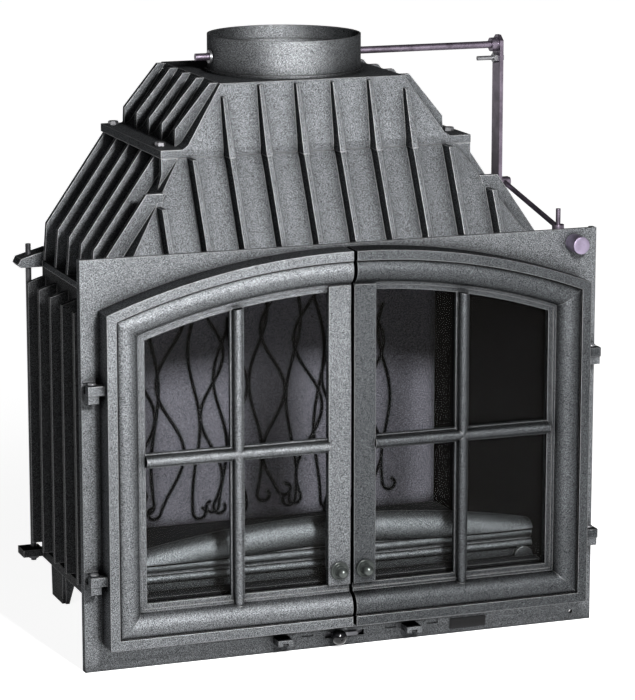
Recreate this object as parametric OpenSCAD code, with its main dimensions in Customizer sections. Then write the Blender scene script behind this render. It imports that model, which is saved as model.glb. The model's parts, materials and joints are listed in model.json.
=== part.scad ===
// Cast-iron fireplace insert with two glazed doors, ribbed firebox, flue hood and damper.
// X runs to the right, Y to the back and Z up. The origin lies on the floor, midway
// between the frontmost and the rearmost point, and the sizes are in millimetres.
// Inside the modules Y is counted from the front face of the front plate.

/* [Front plate] */
// Width of the front plate
plate_w = 700; // [680:5:760]
// Height of the front plate
plate_h = 530; // [528:1:560]
// Thickness of the plate's web
plate_t = 6; // [4:0.5:8]
// Depth of the plate's turned-back rim
plate_rim_depth = 12.5; // [8:0.5:14]
// Thickness of the plate's rim
plate_rim_t = 6; // [4:0.5:8]
// How far the opening lies inside the doors' outer edge
opening_lap = 46; // [40:1:48]
// Radius of the small screw hole low on the right
screw_hole_r = 2.5; // [2:0.25:4]
// Distance of the screw hole from the plate's edge
screw_hole_inset = 28; // [22:1:40]
// Height of the screw hole
screw_hole_z = 12.5; // [10:0.5:20]

/* [Doors] */
// Bare plate left at each side of the pair of doors
door_side_margin = 23; // [21:0.5:24]
// Height of the doors' lower edge
door_bottom = 36; // [30:1:42]
// Height of the shoulder where the arch starts
door_shoulder = 465.5; // [455:0.5:475]
// Height of the arch at the middle
door_apex = 526.5; // [520:0.5:527]
// Gap between the two leaves
door_split = 5; // [3:0.5:7]
// Gap between a leaf's back edge and the plate
door_back_gap = 1; // [0.5:0.1:2]
// Height of the outer flange's face above the leaf's back edge
door_depth = 37; // [34:1:40]
// Width of the moulded border
border_w = 53; // [52:0.5:56]
// Width of the flat outer flange
flange_w = 14; // [12:0.5:16]
// Thickness of the leaf's walls
door_wall = 5; // [4:0.5:6]
// Radius of the roll moulding
roll_r = 18; // [17:0.25:19]
// Distance of the roll's centre from the leaf's outer edge
roll_u = 25; // [24:0.5:28]
// Height of the roll's centre above the leaf's back edge
roll_v = 20; // [18:0.5:21]
// Height of the glazing lip's back above the leaf's back edge
lip_back = 15; // [13:0.5:16]
// Thickness of the glazing lip
lip_t = 5; // [4:0.5:6]
// Width of the flat meeting stile
stile_w = 29.5; // [27:0.5:32]
// Height of the stile's face above the leaf's back edge
stile_v = 26; // [24:0.5:30]
// Width of the cross bars
bar_w = 19; // [16:0.5:22]
// Radius of the cross bars' round bead
bar_bead_r = 6; // [5:0.25:7]
// Height of the middle of that bead above the leaf's back edge
bar_bead_v = 25.5; // [24:0.5:26]
// Width of the groove beside the outer flange
groove_w = 1.4; // [1:0.1:2]
// Height of the level cross bar
cross_z = 274; // [250:1:300]

/* [Glass and seals] */
// Thickness of the glass
glass_t = 4; // [3:0.5:5]
// Thickness of the gasket under the glass
gasket_t = 2; // [1:0.25:3]
// How far the glass laps behind the lip
glass_lap = 11; // [8:0.5:12]
// Width of the rope seal
seal_w = 8; // [6:0.5:8]
// Height of the rope seal
seal_h = 8; // [6:0.5:12]
// Length of a glass clip
clip_l = 18; // [16:1:22]
// Width of a glass clip
clip_w = 12; // [10:1:14]
// Thickness of a glass clip
clip_t = 3; // [2:0.5:4]
// Radius of a clip screw
clip_screw_r = 2.5; // [2:0.25:3]

/* [Hinges and latches] */
// Distance of a hinge line from the plate's edge
hinge_inset = 10; // [9.5:0.25:11]
// Gap between a knuckle and its lug
joint_gap = 0.3; // [0.2:0.1:0.6]
// Distance of a hinge line in front of the plate
hinge_out = 13; // [12.5:0.25:14]
// Radius of a hinge pin
hinge_pin_r = 3; // [2.5:0.25:4]
// Running clearance of pins, spindles and shafts
run_clear = 0.05; // [0.02:0.01:0.09]
// Height of the lower hinge's joint face
hinge_low_z = 118; // [100:1:140]
// Height of the upper hinge's joint face
hinge_high_z = 363; // [330:1:390]
// Height of a door knuckle
knuckle_h = 12; // [10:0.5:14]
// Height of a plate lug
lug_h = 10; // [8:0.5:12]
// Distance of a door knob from the leaf's free edge
knob_inset = 15; // [14:0.5:16]
// Height of the door knobs
knob_z = 109; // [104:1:130]
// Radius of a door knob
knob_r = 12; // [9:0.5:13]
// Length of a door knob
knob_l = 20; // [18:1:26]
// Radius of the round end of a door knob
knob_ball_r = 7.5; // [6:0.25:8]
// Radius of a latch spindle
spindle_r = 4; // [3:0.25:5]
// Length of a latch tongue
tongue_l = 36; // [34:1:40]
// Width of a latch tongue
tongue_w = 9; // [9:0.5:12]
// Thickness of a latch tongue
tongue_t = 4; // [3:0.5:5]

/* [Lower panel and air control] */
// Width of the lower centre panel
panel_w = 414; // [380:2:430]
// Height of the lower centre panel
panel_h = 22.5; // [22:0.5:26]
// Distance of the lug tabs from the centre line
tab_x = 89; // [70:1:110]
// Width of a lug tab
tab_w = 20; // [14:1:26]
// How far a lug tab stands out
tab_out = 23; // [15:1:30]
// Length of the air slot
slot_l = 54; // [50:1:60]
// Height of the air slot
slot_h = 7; // [6:0.5:8]
// Height of the middle of the air slot
slot_z = 15.2; // [14.5:0.1:15.5]
// Length of the air lever
lever_l = 36; // [30:1:38]
// Thickness of the rails that hold the air slide
slide_rail_t = 1.5; // [1:0.1:1.5]
// Radius of the round air knob
air_knob_r = 10; // [8:0.5:12]
// Width of the blank plaque
plaque_w = 50; // [40:1:60]
// Distance of the plaque's middle from the panel's right end
plaque_inset = 34; // [30:1:60]
// Height of the blank plaque
plaque_h = 13; // [10:0.5:16]

/* [Firebox] */
// Height of the underside of the base plate
base_z = 55; // [50:1:60]
// Width of a foot where it meets the base plate
foot_w = 58; // [50:1:64]
// Thickness of a foot
foot_t = 5; // [4:0.5:6]
// Distance of a foot's outer face from the base plate's edge
foot_inset = 13; // [10:0.5:20]
// Distance of the front feet from the plate's face
foot_y = 40; // [34:1:44]
// Thickness of the base plate
base_t = 12; // [8:0.5:14]
// How far the base plate stands out past the side walls
base_out = 9; // [7:0.5:15]
// Distance of the body's back face from the plate's face
body_back = 366; // [362:1:372]
// Distance of the side walls' outer faces from the plate's edges
wall_inset = 53; // [50:1:58]
// Thickness of the cast walls
wall_t = 6; // [5:0.5:8]
// How far the side ribs stand out
side_rib_out = 25; // [20:1:28]
// Thickness of the side ribs
side_rib_t = 8; // [6:0.5:10]
// Distance of the first side rib from the plate's face
first_rib_y = 76; // [74:1:80]
// Number of side ribs
side_ribs = 6; // [4:1:6]
// Distance of the last side rib from the body's back
last_rib_inset = 13.5; // [9:0.5:20]
// How far the ribs at the back stand out
back_rib_out = 12; // [8:1:14]
// Height of the side ribs' lower ends
side_rib_z0 = 78; // [72:1:90]
// Height of the side ribs' outer upper corners
side_rib_z1 = 438; // [420:1:440]
// Height of the joint between the firebox and the hood
joint_z = 458; // [456:1:464]
// Height of the hearth
hearth_z = 85; // [80:1:90]
// Distance of the liners' front edges from the walls' outer faces
liner_front_inset = 10; // [9:0.5:13]
// Distance of the liners' back edges from the walls' outer faces
liner_back_inset = 31; // [27:0.5:35]
// Thickness of a liner
liner_t = 8; // [6:0.5:8]
// Distance of the fireback's face from the plate's face
fireback_y = 345; // [335:1:348]
// Thickness of the fireback
fireback_t = 10; // [8:0.5:12]
// Half width of the ash well
well_half_w = 145; // [130:1:160]
// Distance of the front of the ash well from the plate's face
well_y0 = 95; // [85:1:105]
// Length of the ash well from front to back
well_l = 190; // [170:1:200]
// Depth of the ash well below the base plate
well_depth = 43; // [35:1:48]
// Gap round the ash pan
pan_gap = 4; // [2:0.5:6]
// Half width of the grate
grate_half_w = 120; // [105:1:125]
// Distance of the front of the grate from the plate's face
grate_y0 = 110; // [106:1:116]
// Length of the grate from front to back
grate_l = 160; // [150:1:165]
// Distance of the baffle's ends from the walls' outer faces
baffle_inset = 75; // [71:1:97]
// Thickness of the baffle
baffle_t = 11; // [8:0.5:14]
// Distance of the baffle's front edge from the plate's face
baffle_front = 170; // [160:1:180]
// Height of the baffle's front edge above the joint of firebox and hood
baffle_rise = 84; // [70:1:90]

/* [Log retainer] */
// Distance of the log retainer's ends from the walls' outer faces
retainer_inset = 16; // [15:1:27]
// Distance of the middle of its round top from the plate's face
retainer_y = 52; // [46:1:56]
// Height of its top at the middle
retainer_top = 162; // [155:1:170]
// How much lower its top is at the ends
retainer_rise = 29; // [20:1:32]
// Radius of its round top
retainer_roll_r = 20; // [16:0.5:22]
// Radius of its two beads
retainer_bead_r = 6; // [5:0.25:6.5]
// Radius of the round boss at each end
retainer_boss_r = 13; // [10:0.5:13]
// Height where its round top meets the straight part
retainer_seam = 122.5; // [118:0.5:124]

/* [Hoods] */
// Distance of the lower hood's sides from the walls' outer faces
hood_inset = 25; // [23:1:29]
// Height where the lower hood's slope starts
hood_bend_z = 517; // [510:1:522]
// Height of the joint between the hoods
flange_z = 635; // [630:1:640]
// Thickness of the upper hood's flange
flange_t = 10.5; // [8:0.5:12]
// Half width of the flange
flange_half_w = 212.5; // [208:0.5:216]
// Distance of the flange bolts from the flange's edge
bolt_inset = 13; // [11:0.5:14]
// Distance of the flange's front from the plate's face
flange_front = 98; // [94:1:102]
// How far the flange stands out over the lower hood
flange_over = 22.5; // [20:0.5:25]
// Distance of the lower hood's front below its bend from the plate's face
hood_front = 38; // [37:1:42]
// How far the front ribs stand out
front_rib_out = 24; // [18:1:25]
// Distance from one front rib to the next
front_rib_pitch = 50; // [46:1:50]
// Thickness of the lower hood's ribs
front_rib_t = 6; // [4:0.5:8]
// How far the lower hood's side fins stand out
fin_out = 22.5; // [18:0.5:24]
// Height of the upper hood over the joint
upper_hood_h = 90; // [82:1:95]
// Half width of the upper hood's top
top_half_w = 126; // [124:1:128]
// Distance of the upper hood's foot from the flange's edge
shoulder_inset = 36.5; // [35:0.5:40]
// Distance of the upper hood's top edge from the plate's face
top_front = 118; // [112:1:120]
// Distance of the upper fins from the flange's edge
upper_fin_inset = 28.5; // [25:0.5:31]
// Height of the upper fins' bend over the joint
upper_fin_bend = 33; // [28:1:38]
// How far the upper fins stand out at the top
upper_fin_out = 11; // [8:0.5:14]
// How far the upper hood's front ribs stand out at the top
upper_rib_out = 10; // [6:0.5:14]

/* [Flue and damper] */
// Distance of the flue's centre line from the plate's face
flue_y = 230; // [226:1:236]
// Outer radius of the collar
collar_r = 101.5; // [100:0.5:104]
// Height of the collar
collar_h = 48; // [42:1:55]
// Radius of the flue socket
socket_r = 98.5; // [97.5:0.25:99]
// Depth of the flue socket
socket_depth = 18; // [12:1:20]
// Radius of the collar below the socket
throat_r = 96; // [94:0.5:97]
// Height of the damper shaft over the upper hood
shaft_up = 21; // [17:0.5:25]
// Radius of the damper shaft
shaft_r = 4.8; // [4:0.1:5.5]
// How far the shaft stands out on the left of the flue's centre line
shaft_left = 123; // [118:1:130]
// Distance of the crank's inner face from the pull rod's line
crank_in = 12.3; // [12:0.1:14]
// Thickness of the crank arm
crank_t = 5; // [4:0.5:6]
// Width of the crank arm
crank_w = 26; // [20:1:30]
// Length of the crank arm, from the shaft to the pin
crank_l = 188; // [180:1:195]
// Radius of the butterfly
damper_r = 93; // [88:0.5:94]
// Thickness of the butterfly
damper_t = 4; // [3:0.5:5]
// Tilt of the butterfly at rest
damper_tilt = 5; // [3:1:6]
// Distance of the pull rod from the plate's edge
pull_inset = 33; // [30:0.5:35]
// Height of the pull rod
pull_z = 512; // [508:0.5:516]
// Radius of the pull rod
pull_r = 3.2; // [3:0.1:3.5]
// Distance of the pull rod's upturned end from the plate's face
upturn_y = 48; // [45:1:54]
// Height of the top of the upturned end
upturn_top = 549; // [546:1:556]
// Radius of the link rod
link_r = 3.5; // [3:0.25:4]
// Height of the link's open eye
eye_z = 525; // [522:1:527]
// Wall of the link's open eye
eye_wall = 3.3; // [3:0.1:3.5]
// Clearance of the link's open eye round the upturned end
eye_clear = 1.5; // [1.2:0.1:1.6]
// Radius of the pull knob
pull_knob_r = 11.5; // [10:0.5:13]
// Length of the pull knob
pull_knob_l = 27; // [20:1:32]

/* [Fasteners] */
// Radius of a tie rod
tie_r = 4; // [3:0.25:5]
// Length of a lug that holds a tie rod
lug_l = 30; // [24:1:32]
// How far those lugs stand out past the side ribs
lug_out = 12; // [10:1:13]
// Height of the top of the tie rods
tie_top = 488; // [484:1:494]
// Radius of a hexagon head across its corners
hex_r = 7; // [6:0.5:8]
// Height of a hexagon head
hex_h = 5; // [4:0.5:7]

/* [Hidden] */
$fn = 48;
big = 1200;
eps = 0.01;

// Doors
door_half_w = plate_w / 2 - door_side_margin;
arch_rise = door_apex - door_shoulder;
arch_r = (door_half_w * door_half_w + arch_rise * arch_rise) / (2 * arch_rise);
arch_z = door_apex - arch_r;
leaf_edge = door_split / 2;
hinge_x = plate_w / 2 - hinge_inset;
knob_x = leaf_edge + knob_inset;
glass_back = lip_back - gasket_t - glass_t;
lip_in = roll_u + roll_r - door_wall;
glass_u = border_w - glass_lap;
knob_neck_r = knob_ball_r - 1.5;
bar_x = (door_half_w - border_w + leaf_edge + stile_w) / 2;
bar_v = lip_back + lip_t;
back_step = 0.3;
mitre_step = 0.03;
mitre_lap = 0.3;
soft_step = 0.06;
boss_u = glass_u - clip_screw_r - 4;
boss_r = clip_screw_r + 2.5;
boss_top = roll_v + sqrt(pow(roll_r - door_wall, 2) - pow(boss_u - roll_u, 2)) + 0.5;
glass_edge_x = knob_x + spindle_r + 3;

// Height of the arch at x, drawn in by inset
function arch_height(x, inset) = arch_z + sqrt(pow(arch_r - inset, 2) - x * x);

// Places of the glass clips in X and Z, each with the angle that it points in
clip_spread = 70;
clip_side_zs = [150, 380];
clip_side_x = door_half_w - boss_u;
clip_places = concat(
    [for (z = clip_side_zs) [clip_side_x, z, 180]],
    [for (s = [-1, 1]) [bar_x + s * clip_spread, door_bottom + boss_u, 90]],
    [for (s = [-1, 1]) [bar_x + s * clip_spread, arch_height(bar_x + s * clip_spread, boss_u), -90]]
);

// Lower panel
slide_gap = 0.3;
slide_t = 3;
slide_y = plate_t + slide_gap;
slide_l = slot_l + 46;
slide_h = slot_h + 4;
slide_reach = slide_l - slot_l + lever_l - 2;
slide_lip = 2;
rail_low = slot_z - slide_h / 2 - slide_gap;
rail_high = slot_z + slide_h / 2 + slide_gap;
rail_back = slide_y + slide_t + slide_gap;
lever_h = slot_h - 2;
lever_out = 3;
stem_l = 6;
stem_r = 2.2;
stem_x = -lever_l / 3;
recess_xs = [-51, 64, 123];
recess_w = 16;
plaque_x = panel_w / 2 - plaque_inset;

// Firebox and hoods
base_top = base_z + base_t;
wall_half_w = plate_w / 2 - wall_inset;
rib_half_w = wall_half_w + side_rib_out;
base_half_w = wall_half_w + base_out;
liner_front = wall_half_w - liner_front_inset;
liner_back = wall_half_w - liner_back_inset;
baffle_half_w = wall_half_w - baffle_inset;
retainer_half_w = wall_half_w - retainer_inset;
hood_half_w = wall_half_w - hood_inset;
throat_half_w = flange_half_w - flange_over;
shoulder_half_w = flange_half_w - shoulder_inset;
upper_fin_half_w = flange_half_w - upper_fin_inset;
foot_x = base_half_w - foot_inset;
lug_half_w = rib_half_w + lug_out;
lug_y1 = body_back + 16;
lug_y0 = lug_y1 - lug_l;
tie_x = rib_half_w - 6;
wave_w = 3.2;
well_y = [well_y0, well_y0 + well_l];
grate_y = [grate_y0, grate_y0 + grate_l];
tie_y = [first_rib_y - 36, lug_y1 - lug_l / 2];
lintel_z = arch_z + arch_r - opening_lap + 4;
rib_pitch = (body_back - last_rib_inset - first_rib_y) / (side_ribs - 1);
fin_ys = [for (i = [0 : side_ribs - 1]) first_rib_y + i * rib_pitch];
top_z = flange_z + upper_hood_h;
upper_fin_bend_z = flange_z + upper_fin_bend;
collar_top = top_z + collar_h;
shaft_z = top_z + shaft_up;
side_slope = (hood_half_w - throat_half_w) / (flange_z - hood_bend_z);
front_slope = (flange_front - hood_front) / (flange_z - hood_bend_z);
upper_slope = (shoulder_half_w - top_half_w) / (top_z - flange_z - flange_t);
notch_z = hood_bend_z + 78;
flange_top = flange_z + flange_t;
bolt_x = flange_half_w - bolt_inset;
bolt_ys = [flange_front + 44, body_back - 15];
bolt_r = 4;
collar_lug_angles = [58, 122];
retainer_r = (retainer_half_w * retainer_half_w + retainer_rise * retainer_rise) / (2 * retainer_rise);

// Damper
pull_x = plate_w / 2 - pull_inset;
crank_x = pull_x - crank_in;
crank_z = shaft_z - crank_l;
crank_out = crank_x + crank_t;
link_half = pull_x - crank_out - 0.4;
damper_bolt_xs = [-50, 50];
damper_bolt_r = 3;

// Depth of the whole part, and the shift that puts the origin midway
knob_front = door_back_gap + stile_v + knob_l;
mid_y = (lug_y1 - knob_front) / 2;

// Moves what is drawn from the plate's face to the part's origin
module seat() {
    translate([0, -mid_y, 0])
        children();
}

// Extrudes an outline given in X and Z from y0 back to y1
module from_front(y0, y1) {
    translate([0, y1, 0])
        rotate([90, 0, 0])
            linear_extrude(y1 - y0)
                children();
}

// Extrudes an outline given in Y and Z from x0 to x1
module from_side(x0, x1) {
    translate([x0, 0, 0])
        rotate([90, 0, 90])
            linear_extrude(x1 - x0)
                children();
}

// Extrudes an outline given in X and Y from z0 to z1
module from_top(z0, z1) {
    translate([0, 0, z0])
        linear_extrude(z1 - z0)
            children();
}

module both_sides() {
    children();
    mirror([1, 0, 0])
        children();
}

module block(x0, x1, y0, y1, z0, z1) {
    translate([x0, y0, z0])
        cube([x1 - x0, y1 - y0, z1 - z0]);
}

// A round bar along Y
module bar_y(x, z, y0, y1, r) {
    translate([x, y1, z])
        rotate([90, 0, 0])
            cylinder(r = r, h = y1 - y0);
}

// A round bar along X
module bar_x_round(y, z, x0, x1, r) {
    translate([x0, y, z])
        rotate([0, 90, 0])
            cylinder(r = r, h = x1 - x0);
}

module hex_head(h = hex_h, r = hex_r) {
    cylinder(r = r, h = h, $fn = 6);
}

// Outline of the pair of doors, drawn in by inset
module arch_outline(inset) {
    intersection() {
        translate([0, arch_z])
            circle(r = arch_r - inset, $fn = 720);
        translate([-door_half_w + inset, door_bottom + inset])
            square([2 * (door_half_w - inset), door_apex]);
    }
}

// Front plate, lower panel and what hangs on them

module hinge_lug(z) {
    difference() {
        block(hinge_x - 6, hinge_x + 7.5, -hinge_out - 10, eps, z - lug_h - joint_gap, z - joint_gap);
        translate([hinge_x, -hinge_out, z - big])
            cylinder(r = hinge_pin_r + run_clear, h = 2 * big);
    }
    block(hinge_x - 8, hinge_x + 8, -3, eps, z + knuckle_h + 1, z + knuckle_h + 3);
}

module front_plate() {
    color("#4a4c4f") seat() {
        difference() {
            union() {
                from_front(0, plate_t)
                    translate([-plate_w / 2, 0])
                        square([plate_w, plate_h]);
                from_front(0, plate_rim_depth)
                    difference() {
                        translate([-plate_w / 2, 0])
                            square([plate_w, plate_h]);
                        translate([-plate_w / 2 + plate_rim_t, plate_rim_t])
                            square([plate_w - 2 * plate_rim_t, plate_h]);
                    }
            }
            from_front(-1, plate_t + 1)
                arch_outline(opening_lap);
            block(-panel_w / 2 - slide_gap, panel_w / 2 + slide_gap, -1, plate_rim_depth + 1,
                -1, panel_h + slide_gap);
            bar_y(pull_x, pull_z, -1, plate_rim_depth + 6, pull_r + run_clear);
            bar_y(plate_w / 2 - screw_hole_inset, screw_hole_z, -1, plate_rim_depth, screw_hole_r);
        }
        both_sides() {
            hinge_lug(hinge_low_z);
            hinge_lug(hinge_high_z);
        }
    }
}

module air_panel() {
    color("#4a4c4f") seat() {
        difference() {
            block(-panel_w / 2, panel_w / 2, 0, plate_t, 0, panel_h);
            block(-slot_l / 2, slot_l / 2, -1, plate_t + 1, slot_z - slot_h / 2, slot_z + slot_h / 2);
            for (x = recess_xs)
                block(x - recess_w / 2, x + recess_w / 2, -1, 1.2, panel_h - 6, panel_h + 1);
        }
        for (x = [-tab_x, tab_x])
            difference() {
                block(x - tab_w / 2, x + tab_w / 2, -tab_out, eps, panel_h - 9, panel_h - 1);
                block(x - tab_w / 2 + 6, x + tab_w / 2 - 6, -tab_out - 1, -tab_out + 5,
                    panel_h - 10, panel_h - 5);
            }
        slide_rail(rail_low - slide_rail_t, rail_low, rail_low + slide_lip);
        slide_rail(rail_high, rail_high + slide_rail_t, rail_high - slide_lip);
        both_sides()
            block(panel_w / 2 - 30, panel_w / 2 - 10, plate_t - eps, plate_t + 12, 0, 5);
    }
}

// One rail of the air slide, from z0 to z1, with a lip behind the slide as far as lip_z
module slide_rail(z0, z1, lip_z) {
    block(-slide_l / 2, slide_l / 2, plate_t - eps, rail_back + 2, z0, z1);
    block(-slide_l / 2, slide_l / 2, rail_back, rail_back + 2, min(z0, lip_z), max(z1, lip_z));
}

module blank_plaque() {
    color("#1c1c1e") seat()
        block(plaque_x - plaque_w / 2, plaque_x + plaque_w / 2, -1.2, 0, slot_z - 2 - plaque_h / 2,
            slot_z - 2 + plaque_h / 2);
}

module air_slide() {
    color("#3a3b3e") seat() {
        block(-slide_reach / 2, slide_reach / 2, slide_y, slide_y + slide_t, slot_z - slide_h / 2,
            slot_z + slide_h / 2);
        from_front(-lever_out, slide_y + eps)
            union() {
                translate([lever_l / 2 - lever_h / 2, slot_z])
                    circle(r = lever_h / 2);
                translate([-lever_l / 2, slot_z - lever_h / 2])
                    square([lever_l - lever_h / 2, lever_h]);
            }
        bar_y(stem_x, slot_z, -lever_out - stem_l, -lever_out + eps, stem_r);
    }
}

module air_knob() {
    color("#0c0c0d") seat()
        translate([stem_x, -lever_out - 1, slot_z])
            rotate([90, 0, 0])
                rotate_extrude()
                    difference() {
                        translate([0, air_knob_r - 1.5])
                            circle(r = air_knob_r);
                        translate([-big, -big])
                            square([big, 2 * big]);
                        translate([0, -big])
                            square([big, big]);
                        translate([0, -1])
                            square([stem_r + run_clear, stem_l]);
                    }
}

module hinge_pins() {
    color("#6f7074") seat()
        both_sides()
            for (z = [hinge_low_z, hinge_high_z])
                translate([hinge_x, -hinge_out, 0]) {
                    translate([0, 0, z - lug_h - joint_gap])
                        cylinder(r = hinge_pin_r, h = lug_h + joint_gap + knuckle_h + 1);
                    translate([0, 0, z + knuckle_h + joint_gap])
                        cylinder(r = hinge_pin_r + 2, h = 2);
                }
}

// Base, firebox and what stands inside it

module tie_lug(y0, y1, z0, z1, top_rise) {
    difference() {
        from_front(y0, y1)
            polygon([
                [wall_half_w - wall_t, z0],
                [lug_half_w - 4, z0],
                [lug_half_w, z0 + 4],
                [lug_half_w - 4, z1],
                [wall_half_w - wall_t, z1 + top_rise]
            ]);
        translate([tie_x, (y0 + y1) / 2, z0 - 1])
            cylinder(r = tie_r + run_clear, h = z1 - z0 + top_rise + 2);
    }
}

module base_plate() {
    color("#2c2d2f") seat() {
        difference() {
            union() {
                block(-base_half_w, base_half_w, plate_t, body_back, base_z, base_top);
                block(-well_half_w, well_half_w, well_y[0], well_y[1], base_z - well_depth, base_z + eps);
            }
            block(-well_half_w + wall_t, well_half_w - wall_t, well_y[0] + wall_t, well_y[1] - wall_t,
                base_z - well_depth + wall_t, base_top + 1);
        }
        both_sides()
            for (y = tie_y)
                difference() {
                    block(base_half_w - eps, lug_half_w, y - lug_l / 2, y + lug_l / 2, base_z + 2, base_top);
                    translate([tie_x, y, 0])
                        cylinder(r = tie_r + run_clear, h = big);
                }
    }
}

module feet() {
    color("#2c2d2f") seat()
        both_sides()
            for (y = [foot_y, body_back - foot_w - 4]) {
                from_side(foot_x - foot_t, foot_x)
                    polygon([
                        [y, base_z],
                        [y + foot_w, base_z],
                        [y + foot_w - foot_t + 1, 0],
                        [y + foot_t - 1, 0]
                    ]);
                from_front(y, y + foot_t)
                    polygon([
                        [foot_x - foot_t + 1, base_z],
                        [foot_x - 5 * foot_t, base_z],
                        [foot_x - 2 * foot_t + 1, 0],
                        [foot_x - foot_t + 1, 0]
                    ]);
            }
}

module side_panel() {
    block(wall_half_w - wall_t, wall_half_w, plate_t, body_back, base_top, joint_z);
    block(wall_half_w - wall_t, wall_half_w + 14, plate_t, plate_t + 8, base_top, joint_z);
    for (y = fin_ys)
        from_front(y - side_rib_t / 2, y + side_rib_t / 2)
            polygon([
                [wall_half_w - 1, side_rib_z0],
                [rib_half_w, side_rib_z0],
                [rib_half_w, side_rib_z1],
                [wall_half_w + 4, side_rib_z1 + 7],
                [wall_half_w - 1, side_rib_z1 + 7]
            ]);
}

module right_side_panel() {
    color("#303134") seat()
        side_panel();
}

module left_side_panel() {
    color("#303134") seat()
        mirror([1, 0, 0])
            side_panel();
}

module back_panel() {
    color("#303134") seat() {
        x1 = wall_half_w - wall_t;
        block(-x1, x1, body_back - wall_t, body_back, base_top, joint_z);
        for (x = [-5 : 5])
            block(x * front_rib_pitch - side_rib_t / 2, x * front_rib_pitch + side_rib_t / 2,
                body_back - 1, body_back + back_rib_out, side_rib_z0, side_rib_z1);
    }
}

module hearth_plate() {
    color("#35363a") seat()
        difference() {
            union() {
                from_top(hearth_z - 8, hearth_z)
                    polygon([
                        [-liner_front + 2, plate_t + 10],
                        [liner_front - 2, plate_t + 10],
                        [liner_back - 1, fireback_y - 1],
                        [-liner_back + 1, fireback_y - 1]
                    ]);
                for (x = [-200, -well_half_w - 12, well_half_w + 6, 194])
                    block(x, x + 6, 30, fireback_y - 5, base_top, hearth_z - 8 + eps);
            }
            block(-grate_half_w, grate_half_w, grate_y[0], grate_y[1], hearth_z - 6, hearth_z + 1);
            block(-grate_half_w + 8, grate_half_w - 8, grate_y[0] + 8, grate_y[1] - 8,
                hearth_z - 9, hearth_z);
        }
}

module grate() {
    color("#26272a") seat()
        difference() {
            block(-grate_half_w + 0.5, grate_half_w - 0.5, grate_y[0] + 0.5, grate_y[1] - 0.5,
                hearth_z - 6, hearth_z);
            for (i = [-5 : 5])
                block(i * 20 - 5, i * 20 + 5, grate_y[0] + 16, grate_y[1] - 16, hearth_z - 7,
                    hearth_z + 1);
        }
}

module ash_pan() {
    color("#3b3c3f") seat() {
        x = well_half_w - wall_t - pan_gap;
        y = [well_y[0] + wall_t + pan_gap, well_y[1] - wall_t - pan_gap];
        z = base_z - well_depth + wall_t;
        difference() {
            block(-x, x, y[0], y[1], z, base_z + 2);
            block(-x + 1.5, x - 1.5, y[0] + 1.5, y[1] - 1.5, z + 1.5, base_z + 3);
        }
        block(-30, 30, y[0] + 1, y[0] + 12, base_z - 4, base_z - 2);
    }
}

// A wavy relief line up the fireback
module wave(x0, z0, z1, swing, turns, phase) {
    steps = 16;
    at = [for (i = [0 : steps])
        let (t = i / steps)
        [x0 + swing * (0.35 + 0.65 * t) * sin(360 * turns * t + phase), z0 + (z1 - z0) * t]];
    across = [for (i = [0 : steps])
        let (d = at[min(i + 1, steps)] - at[max(i - 1, 0)])
        [d[1], -d[0]] * wave_w / (2 * norm(d))];
    polygon(concat(
        [for (i = [0 : steps]) at[i] + across[i]],
        [for (i = [steps : -1 : 0]) at[i] - across[i]]
    ));
}

module fireback() {
    color("#3e4046") seat() {
        from_front(fireback_y, fireback_y + fireback_t)
            translate([-liner_back + 1, hearth_z])
                square([2 * liner_back - 2, joint_z - 10 - hearth_z]);
        from_front(fireback_y - 2, fireback_y + eps)
            for (i = [-4 : 4])
                wave(i * 48 + 6 * sin(140 * i), hearth_z + 24 + 10 * cos(100 * i),
                    joint_z - 60 + 26 * sin(77 * i), 13 + 3 * cos(61 * i), 1.35, 55 * i);
    }
}

module liner() {
    from_top(base_top, joint_z - 4)
        polygon([
            [liner_front, plate_t + 1],
            [wall_half_w - wall_t - 0.1, plate_t + 1],
            [liner_back + liner_t, body_back - wall_t - 0.1],
            [liner_back, body_back - wall_t - 0.1]
        ]);
}

module right_liner() {
    color("#17181a") seat()
        liner();
}

module left_liner() {
    color("#17181a") seat()
        mirror([1, 0, 0])
            liner();
}

// Height of the baffle's underside at a distance y from the plate's face
function baffle_low(y) = joint_z - 10 + (baffle_rise + 10 - baffle_t) * (fireback_y - y)
    / (fireback_y - baffle_front);

module baffle() {
    color("#26272a") seat()
        from_side(-baffle_half_w, baffle_half_w)
            polygon([
                [fireback_y + fireback_t, joint_z - 10],
                [fireback_y + fireback_t, joint_z - 10 + baffle_t],
                [baffle_front, joint_z + baffle_rise],
                [baffle_front, joint_z + baffle_rise - baffle_t],
                [fireback_y, joint_z - 10]
            ]);
}

module log_retainer() {
    color("#4c4e52") seat() {
        intersection() {
            translate([0, 0, retainer_top - retainer_r])
                rotate([90, 0, 0])
                    rotate([0, 0, 78])
                        rotate_extrude(angle = 24, $fn = 1440)
                            translate([retainer_r - retainer_roll_r, -retainer_y])
                                circle(r = retainer_roll_r);
            block(-retainer_half_w, retainer_half_w, 0, big, retainer_seam, big);
        }
        block(-retainer_half_w, retainer_half_w, retainer_y - 10, retainer_y + 8, hearth_z,
            retainer_seam + 1);
        for (i = [0, 1])
            bar_x_round(retainer_y - 9, retainer_seam - 6.5 - 15 * i, -retainer_half_w,
                retainer_half_w, retainer_bead_r);
        both_sides()
            intersection() {
                bar_y(retainer_half_w - 13, hearth_z, retainer_y - 18, retainer_y, retainer_boss_r);
                block(0, retainer_half_w, 0, big, hearth_z, big);
            }
    }
}

// Hoods, collar and ties

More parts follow.
